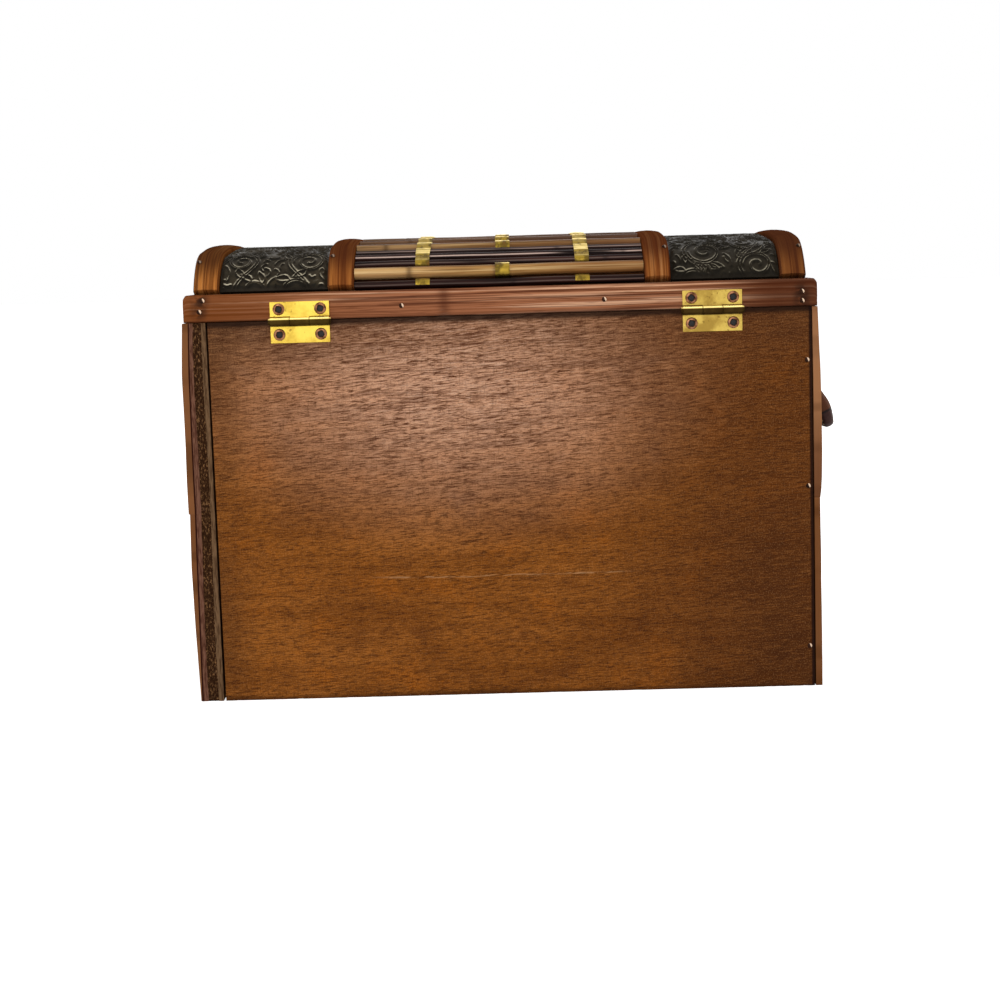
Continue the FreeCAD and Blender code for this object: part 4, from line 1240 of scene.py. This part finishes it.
def backPanelFinish():
    # a painted sheen in the middle, darker towards one side and in one lower corner, painted shade under the rail and
    # in the gap at the other side, darker along the foot and one edge, and one long scratch
    paint = Paint("stainedBack", matte)
    place = paint.place()
    x, z = paint.part(place, "X"), paint.part(place, "Z")
    tilted = paint.node("ShaderNodeVectorRotate", {"rotation_type": "Y_AXIS"},
                        {"Vector": place, "Angle": backWall["grainTilt"]})
    drift = paint.clouds(place, (16, 1, 16), detail=3)
    band = paint.clouds(place, (8, 1, 110), detail=3, rough=0.55, warp=0.3)
    dash = paint.clouds(tilted, (130, 1, 1350), detail=2, rough=0.65, warp=0.9)
    fibre = paint.clouds(tilted, (230, 1, 1900), detail=2, rough=0.6, warp=0.5)
    wavy = paint.clouds(tilted, (13, 1, 210), detail=2, rough=0.5, warp=0.8)
    cross = paint.clouds(place, (900, 1, 170), detail=2)
    paint.start(paint.fade(drift * 0.4 + band * 0.6, 0.36, 0.64), tint(128, 72, 20), tint(158, 94, 34))
    patch = paint.clouds(place, (34, 1, 46), detail=4, rough=0.6)
    paint.lay(paint.fade(patch, 0.52, 0.68) * 0.5, 166, 92, 20)
    paint.lay(paint.fade(patch, 0.46, 0.3) * 0.5, 92, 48, 18)
    # painted sheen: a pale patch in the upper middle
    squash = backWall["glowSquash"]
    spot = (backWall["glowX"], backWall["face"], squash * backWall["glowZ"])
    glow = paint.near(paint.stretch(place, (1, 1, squash)), spot, backWall["glowReach"])
    patchy = 0.7 + 0.6 * (drift - 0.5)
    paint.lay(glow * patchy, 224, 174, 142)
    shade = paint.fade(x + 0.05 * (drift - 0.5), -0.02, -0.13)
    paint.lay(shade * 0.66, 72, 35, 13)
    corner = paint.fade(x + 0.06 * (drift - 0.5), -0.08, -0.155) * paint.fade(z, 0.13, 0.02)
    paint.lay(corner * 0.6, 44, 19, 8)
    edge = paint.fade(x, 0.125, 0.147) * paint.fade(drift, 0.3, 0.6)
    paint.lay(edge * 0.6, 76, 44, 20)
    # painted shade along the top, below the lid's rail, stronger towards one side
    rim = paint.fade(z, 0.16, 0.194)
    paint.lay(rim * (0.35 + 0.4 * paint.fade(x, 0.02, 0.12)), 78, 54, 38)
    # the grain's dark and pale lines change inside the painted sheen
    deep = paint.mix(glow, tint(62, 30, 10), tint(84, 46, 30))
    paint.lay(paint.fade(dash, 0.5, 0.34) * (0.62 + 0.38 * glow), deep)
    paint.lay(paint.fade(fibre, 0.52, 0.36) * 0.7, deep)
    wavyLine = paint.fade(paint.magnitude(wavy - 0.5), 0.05, 0.015)
    paint.lay(wavyLine * (0.12 + 0.42 * glow), deep)
    pale = paint.mix(glow, tint(176, 112, 54), tint(218, 176, 148))
    paint.lay(paint.fade(dash, 0.52, 0.68) * (0.18 + 0.5 * glow), pale)
    paint.lay(paint.fade(cross, 0.54, 0.7) * 0.26, 58, 28, 12)
    speck = paint.clouds(place, (1500, 1, 1500), detail=2, rough=0.6)
    paint.lay(paint.fade(speck, 0.5, 0.3) * 0.4, deep)
    paint.lay(paint.fade(speck, 0.5, 0.7) * 0.16, 206, 150, 98)
    # painted shadow of the lid's rail along the top edge
    brow = paint.fade(z + 1.5 * mm * (drift - 0.5), 190.6 * mm, 193.4 * mm)
    paint.lay(brow * 0.88, 30, 16, 10)
    foot = paint.fade(z + 4 * mm * (drift - 0.5), 3 * mm, 0.5 * mm)
    # painted shade in the gap between the panel and the slats at this side
    side = paint.fade(x, -155 * mm, -156 * mm)
    paint.lay(foot * 0.6, 46, 22, 8)
    paint.lay(side * 0.9, 26, 12, 9)
    wander = 0.004 * (drift - 0.5) + z - backWall["scratch"]
    scratch = paint.fade(paint.magnitude(wander), 0.7 * mm, 0.15 * mm)
    scratch = scratch * paint.fade(paint.magnitude(x), 70 * mm, 62 * mm) * paint.fade(dash, 0.4, 0.6)
    paint.lay(scratch * 0.45, 196, 150, 104)
    rough = 0.45 + 0.2 * paint.fade(fibre, 0.55, 0.4)
    return paint.finish(rough, paint.bump(fibre * 0.5 + dash * 0.5, 0.2 * mm))


def makeBackPanel():
    low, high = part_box("back_panel")
    high.z += backWall["rise"]
    z = np.concatenate([np.linspace(low.z, low.z + 5 * mm, 14), np.linspace(low.z + 7 * mm, high.z - 1 * mm, 50),
                        [high.z - backWall["round"], high.z]])
    share = np.linspace(0, 1, 300)
    zz, t = np.meshgrid(z, share, indexing="ij")
    edge = high.x - backWall["lean"] * (1 - zz / high.z)
    x = low.x + (edge - low.x) * t
    grit = roughness(pack(x, zz * 0.5, 0.0), 160.0, 6)
    sink = backWall["chip"] * np.clip(grit - 0.15, 0, 1) * (1 - ease(zz, 0, backWall["chipRise"]))
    close = np.minimum(np.minimum(x - low.x, edge - x), np.minimum(zz - low.z, high.z - zz))
    sink = sink + backWall["round"] * (1 - ease(close, 0, backWall["round"])) + 0.04 * mm * np.abs(grit)
    rings = np.concatenate([pack(x, high.y - sink, zz), pack(x[:, ::-1], low.y, zz)], axis=1)
    shape = Shape()
    shape.tube(rings, rings)
    shape.piece("back_panel", backPanelFinish(), "chest", sharp=50, suffix="-stained")


def tornEdgeFinish():
    paint = Paint("tornPly", raw)
    place = paint.place()
    veneerColours(paint, place, 2, tint(120, 70, 36), tint(86, 46, 24), tint(44, 22, 12))
    across = paint.part(paint.tag("grain", "Vector"), "Z")
    depth = paint.tag("relief")
    speck = paint.clouds(place, (1300, 900, 520), detail=4, rough=0.75)
    streak = paint.clouds(place, (1500, 900, 160), detail=3, rough=0.6)
    outerPly = paint.mix(paint.fade(streak, 0.35, 0.62), tint(80, 48, 36), tint(122, 84, 66))
    innerPly = paint.mix(paint.fade(streak, 0.35, 0.62), tint(78, 56, 38), tint(118, 90, 64))
    plies = paint.mix(paint.fade(across, 0.4, 0.6), innerPly, outerPly)
    core = paint.mix(paint.fade(speck, 0.5, 0.68), tint(50, 30, 17), tint(142, 102, 66))
    edge = paint.mix(paint.fade(depth, 0.2, 0.5), plies, core)
    edge = paint.mix(paint.fade(across, 0.9, 0.95), edge, tint(44, 18, 13))
    paint.lay(paint.tag("knot"), edge)
    return paint.finish(0.75, paint.bump(speck, 0.3 * mm))


def makeTornPanel():
    # the side wall whose rear edge shows: two outer plies, splayed towards the slats, and a torn core between them
    low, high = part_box("right_panel")
    high.z += backWall["rise"]
    z = np.linspace(low.z, high.z, 420)
    share = np.linspace(0, 1, 36)
    zz, t = np.meshgrid(z, share, indexing="ij")
    table = np.array(slats["lowerRight"][:-1] + slats["upperRight"]) * mm
    splay = np.interp(z, table[:, 0], table[:, 2])[:, None]
    lean = backWall["sideLean"] * (1 - zz / high.z)
    x = low.x - lean + (high.x + splay - low.x + lean) * t
    middle = 0.47 + 0.03 * np.sin(zz / (23 * mm))
    core = 1 - ease(np.abs(t - middle), 0.2, 0.29)
    grit = roughness(pack(x, zz, 0.0), 1300.0, 2)
    coarse = roughness(pack(x, zz * 0.6, 0.0), 420.0, 4)
    sink = core * (0.75 + 0.5 * grit + 0.35 * coarse) * mm + (1 - core) * (0.1 + 0.12 * np.abs(grit)) * mm
    rear = pack(x, high.y - np.clip(sink, 0.02 * mm, 1.9 * mm), zz)
    bend = high.y - slats["width"]
    corners = ((high.x, bend), (high.x, low.y), (low.x, low.y), (low.x, bend))
    rings = np.concatenate([rear] + [pack(*corner, z)[:, None] for corner in corners], axis=1)
    pad = ((0, 0), (0, len(corners)))
    tags = np.pad(pack(0.0, zz, t), (*pad, (0, 0)))
    shape = Shape()
    shape.tube(rings, tags, relief=np.pad(core * np.clip(sink / (1.1 * mm), 0.4, 1), pad),
               knot=np.pad(np.ones_like(sink), pad))
    shape.piece("right_panel", tornEdgeFinish(), "chest", sharp=60, suffix="-torn")


def soften(node, width):
    # small round on every hard edge of a CAD node
    weld = node.modifiers.new("weld", "WELD")
    weld.merge_threshold = 0.01 * mm
    flat = node.modifiers.new("flat", "DECIMATE")
    flat.decimate_type = "DISSOLVE"
    flat.angle_limit = math.radians(0.5)
    bevel = node.modifiers.new("bevel", "BEVEL")
    bevel.width = width
    bevel.segments = 2
    bevel.limit_method = "ANGLE"
    bevel.angle_limit = math.radians(35)
    node.modifiers.new("normals", "WEIGHTED_NORMAL")


def dress(names, finish, width=None):
    for name in names:
        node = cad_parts[name]
        for each in node.material_slots:
            each.material = finish
        if width:
            soften(node, width)


makeTornPanel()
makeBackPanel()
wall = dict(light=tint(132, 80, 44), dark=tint(96, 54, 28), deep=tint(50, 26, 12))
dress(["front_panel"], plywoodFinish("frontPly", 1, 0, **wall), ply["edge"])
dress(["left_panel", "lid_left_end", "lid_right_end"], plywoodFinish("sidePly", 0, 1, **wall), ply["edge"])
dress(["floor_panel", "lid_skin", "lid_battens"], plywoodFinish("floorPly", 2, 0, **wall), ply["edge"])
print("plywood stained")


# Metal: brass hinges and fittings, coppery screws, iron nails
def brassFinish(name, bright, dull, gloss):
    paint = Paint(name, Metallic=1.0)
    place = paint.place()
    film = paint.clouds(place, (120, 120, 120), detail=4, rough=0.6)
    brushed = paint.clouds(place, (90, 2500, 2500), detail=2)
    speck = paint.clouds(place, (700, 700, 700), detail=2)
    paint.start(paint.fade(film, 0.4, 0.68), bright, dull)
    paint.lay(paint.fade(speck, 0.66, 0.74) * 0.6, 92, 62, 24)
    rough = gloss + 0.16 * paint.fade(film, 0.4, 0.66) + 0.05 * brushed
    return paint.finish(rough, paint.bump(brushed, 0.03 * mm))


# heights on the barrel, measured from the pins
hingeLow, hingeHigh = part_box("hinge_pins")
hinge = dict(axis=(hingeLow.z + hingeHigh.z) / 2,
             **sizes(grimeTop=1.1, grimeFoot=-2.9, ridge=1.5, edge=0.18, fittingEdge=0.2))


def hingeFinish(name, bright, dull):
    # painted shade sits in the lower half of the barrel and round the knuckles, with a painted highlight along its top
    paint = Paint(name, Metallic=1.0)
    place = paint.place()
    film = paint.clouds(place, (90, 90, 90), detail=4, rough=0.6)
    brushed = paint.clouds(place, (2200, 90, 500), detail=2)
    speck = paint.clouds(place, (600, 600, 600), detail=2)
    paint.start(paint.fade(film, 0.36, 0.66), bright, dull)
    paint.lay(paint.fade(speck, 0.64, 0.74) * 0.6, 92, 66, 24)
    z = paint.part(place, "Z") - hinge["axis"]
    # painted shade in the lower half of the barrel
    barrel = paint.fade(z, hinge["grimeTop"], hinge["grimeTop"] - 0.4 * mm)
    barrel = barrel * paint.fade(z, hinge["grimeFoot"], hinge["grimeFoot"] + 0.7 * mm)
    paint.lay(barrel * 0.95, 44, 28, 12)
    # painted highlight along the top of the barrel
    ridge = paint.fade(paint.magnitude(z - hinge["ridge"]), 0.6 * mm, 0.3 * mm)
    paint.lay(ridge * 0.8, 252, 232, 150)
    rough = 0.3 + 0.2 * paint.fade(film, 0.4, 0.66) + 0.3 * barrel
    return paint.finish(rough, paint.bump(brushed, 0.03 * mm))


def nailFinish():
    # nearly black, with a painted glint on one flank, weaker above the rail
    paint = Paint("ironNail", matte)
    facing = paint.facing()
    rubbed = 0.4 * paint.part(facing, "Z") - paint.part(facing, "X")
    film = paint.clouds(paint.place(), (500, 500, 500), detail=3)
    paint.start(paint.fade(film, 0.4, 0.66), tint(52, 30, 20), tint(30, 17, 11))
    glint = paint.fade(rubbed, 0.12, 0.4) * paint.fade(rubbed, 0.85, 0.7)
    glint = glint * (1 - 0.7 * paint.fade(paint.axis("Z"), railTop, railTop + 2 * mm))
    paint.lay(glint, 250, 216, 184)
    return paint.finish(0.4, paint.bump(film, 0.1 * mm))


lemonPaint = hingeFinish("lemonBrass", tint(208, 180, 76), tint(184, 152, 58))
olivePaint = hingeFinish("oliveBrass", tint(188, 160, 78), tint(146, 118, 52))
fittingPaint = brassFinish("fittingBrass", tint(204, 166, 82), tint(158, 122, 58), 0.32)
nailPaint = nailFinish()
dress(["right_hinge_box_leaf", "right_hinge_lid_leaf"], lemonPaint, hinge["edge"])
dress(["left_hinge_box_leaf", "left_hinge_lid_leaf", "hinge_pins"], olivePaint, hinge["edge"])
dress(["left_handle_brackets", "right_handle_brackets", "left_handle_pins", "right_handle_pins", "hook_plate",
       "lid_peg", "latch_hook"], fittingPaint, hinge["fittingEdge"])
dress(["box_nails", "lid_nails"], nailPaint)

# Screws: a coppery ring round a deep cross recess painted nearly black
screw = sizes(radius=3, dome=0.7, recess=1.2, arm=0.5, reach=1.95, pit=1.6, shank=1.5, edge=4.5, bracketInset=8.3,
              boxLength=8, lidLength=12, bracketLength=7)


def screwFinish():
    paint = Paint("copperScrew")
    place = paint.place()
    film = paint.clouds(place, (500, 500, 500), detail=3, rough=0.6)
    paint.start(paint.fade(film, 0.4, 0.65), tint(142, 98, 70), tint(84, 52, 34))
    dirt = paint.tag("knot")
    paint.lay(dirt, 14, 10, 8)
    return paint.finish(0.34 + 0.4 * dirt, paint.bump(film, 0.08 * mm), metal=1.0 - dirt)


def addScrew(shape, point, out, turn, length):
    aside = np.cross(up if abs(out[2]) < 0.5 else right, out)
    above = np.cross(out, aside)
    r = np.concatenate([np.linspace(0.02, 0.86, 24), np.linspace(0.88, 1, 6)]) * screw["radius"]
    angle = np.linspace(0, 2 * math.pi, 72, endpoint=False)
    rr, aa = np.meshgrid(r, angle, indexing="ij")
    flatA, flatB = rr * np.cos(aa - turn), rr * np.sin(aa - turn)
    arm = np.minimum(np.abs(flatA), np.abs(flatB))
    mouth = 1 - ease(arm, screw["arm"] - 0.2 * mm, screw["arm"] + 0.15 * mm)
    mouth = mouth * (1 - ease(rr, screw["reach"] - 0.3 * mm, screw["reach"]))
    mouth = np.maximum(mouth, 1 - ease(rr, screw["pit"] - 0.3 * mm, screw["pit"] + 0.2 * mm))
    dome = screw["dome"] * np.sqrt(np.maximum(1 - (rr / screw["radius"]) ** 2.6, 0))
    height = dome - screw["recess"] * mouth
    around = np.cos(angle)[:, None] * aside + np.sin(angle)[:, None] * above
    cap = point + height[..., None] * out + rr[..., None] * around
    below = [(screw["radius"], -0.05 * mm), (screw["shank"], -1.5 * mm), (screw["shank"], -length)]
    stem = [point + h * out + q * around for q, h in below]
    rings = np.concatenate([cap, np.stack(stem)])
    dirt = np.concatenate([mouth, np.zeros((len(below), len(angle)))])
    shape.tube(rings, np.zeros(3), knot=dirt)


def makeScrews():
    finish = screwFinish()
    rng = np.random.default_rng(77)
    for node, leaf, body, length in (("hinge_box_screws", "hinge_box_leaf", "chest", screw["boxLength"]),
                                     ("hinge_lid_screws", "hinge_lid_leaf", "lid", screw["lidLength"])):
        low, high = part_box(node)
        shape = Shape()
        for side in ("right_", "left_"):
            leafLow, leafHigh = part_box(side + leaf)
            for x in (leafLow.x + screw["edge"], leafHigh.x - screw["edge"]):
                point = np.array((x, high.y - screw["dome"], (low.z + high.z) / 2))
                addScrew(shape, point, back, rng.uniform(0, 1.5), length)
        shape.piece(node, finish, body, sharp=50)
    low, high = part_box("bracket_screws")
    shape = Shape()
    for side in (1, -1):
        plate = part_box("right_handle_brackets" if side > 0 else "left_handle_brackets")[1]
        middle = plate.y - screw["bracketInset"]
        for y in (middle - handle["arm"] / 4, middle + handle["arm"] / 4):
            for end in (1, -1):
                point = np.array((side * (high.x - screw["dome"]), end * y, (low.z + high.z) / 2))
                addScrew(shape, point, side * right, rng.uniform(0, 1.5), screw["bracketLength"])
    shape.piece("bracket_screws", finish, "chest", sharp=50)


makeScrews()
print("metal polished")
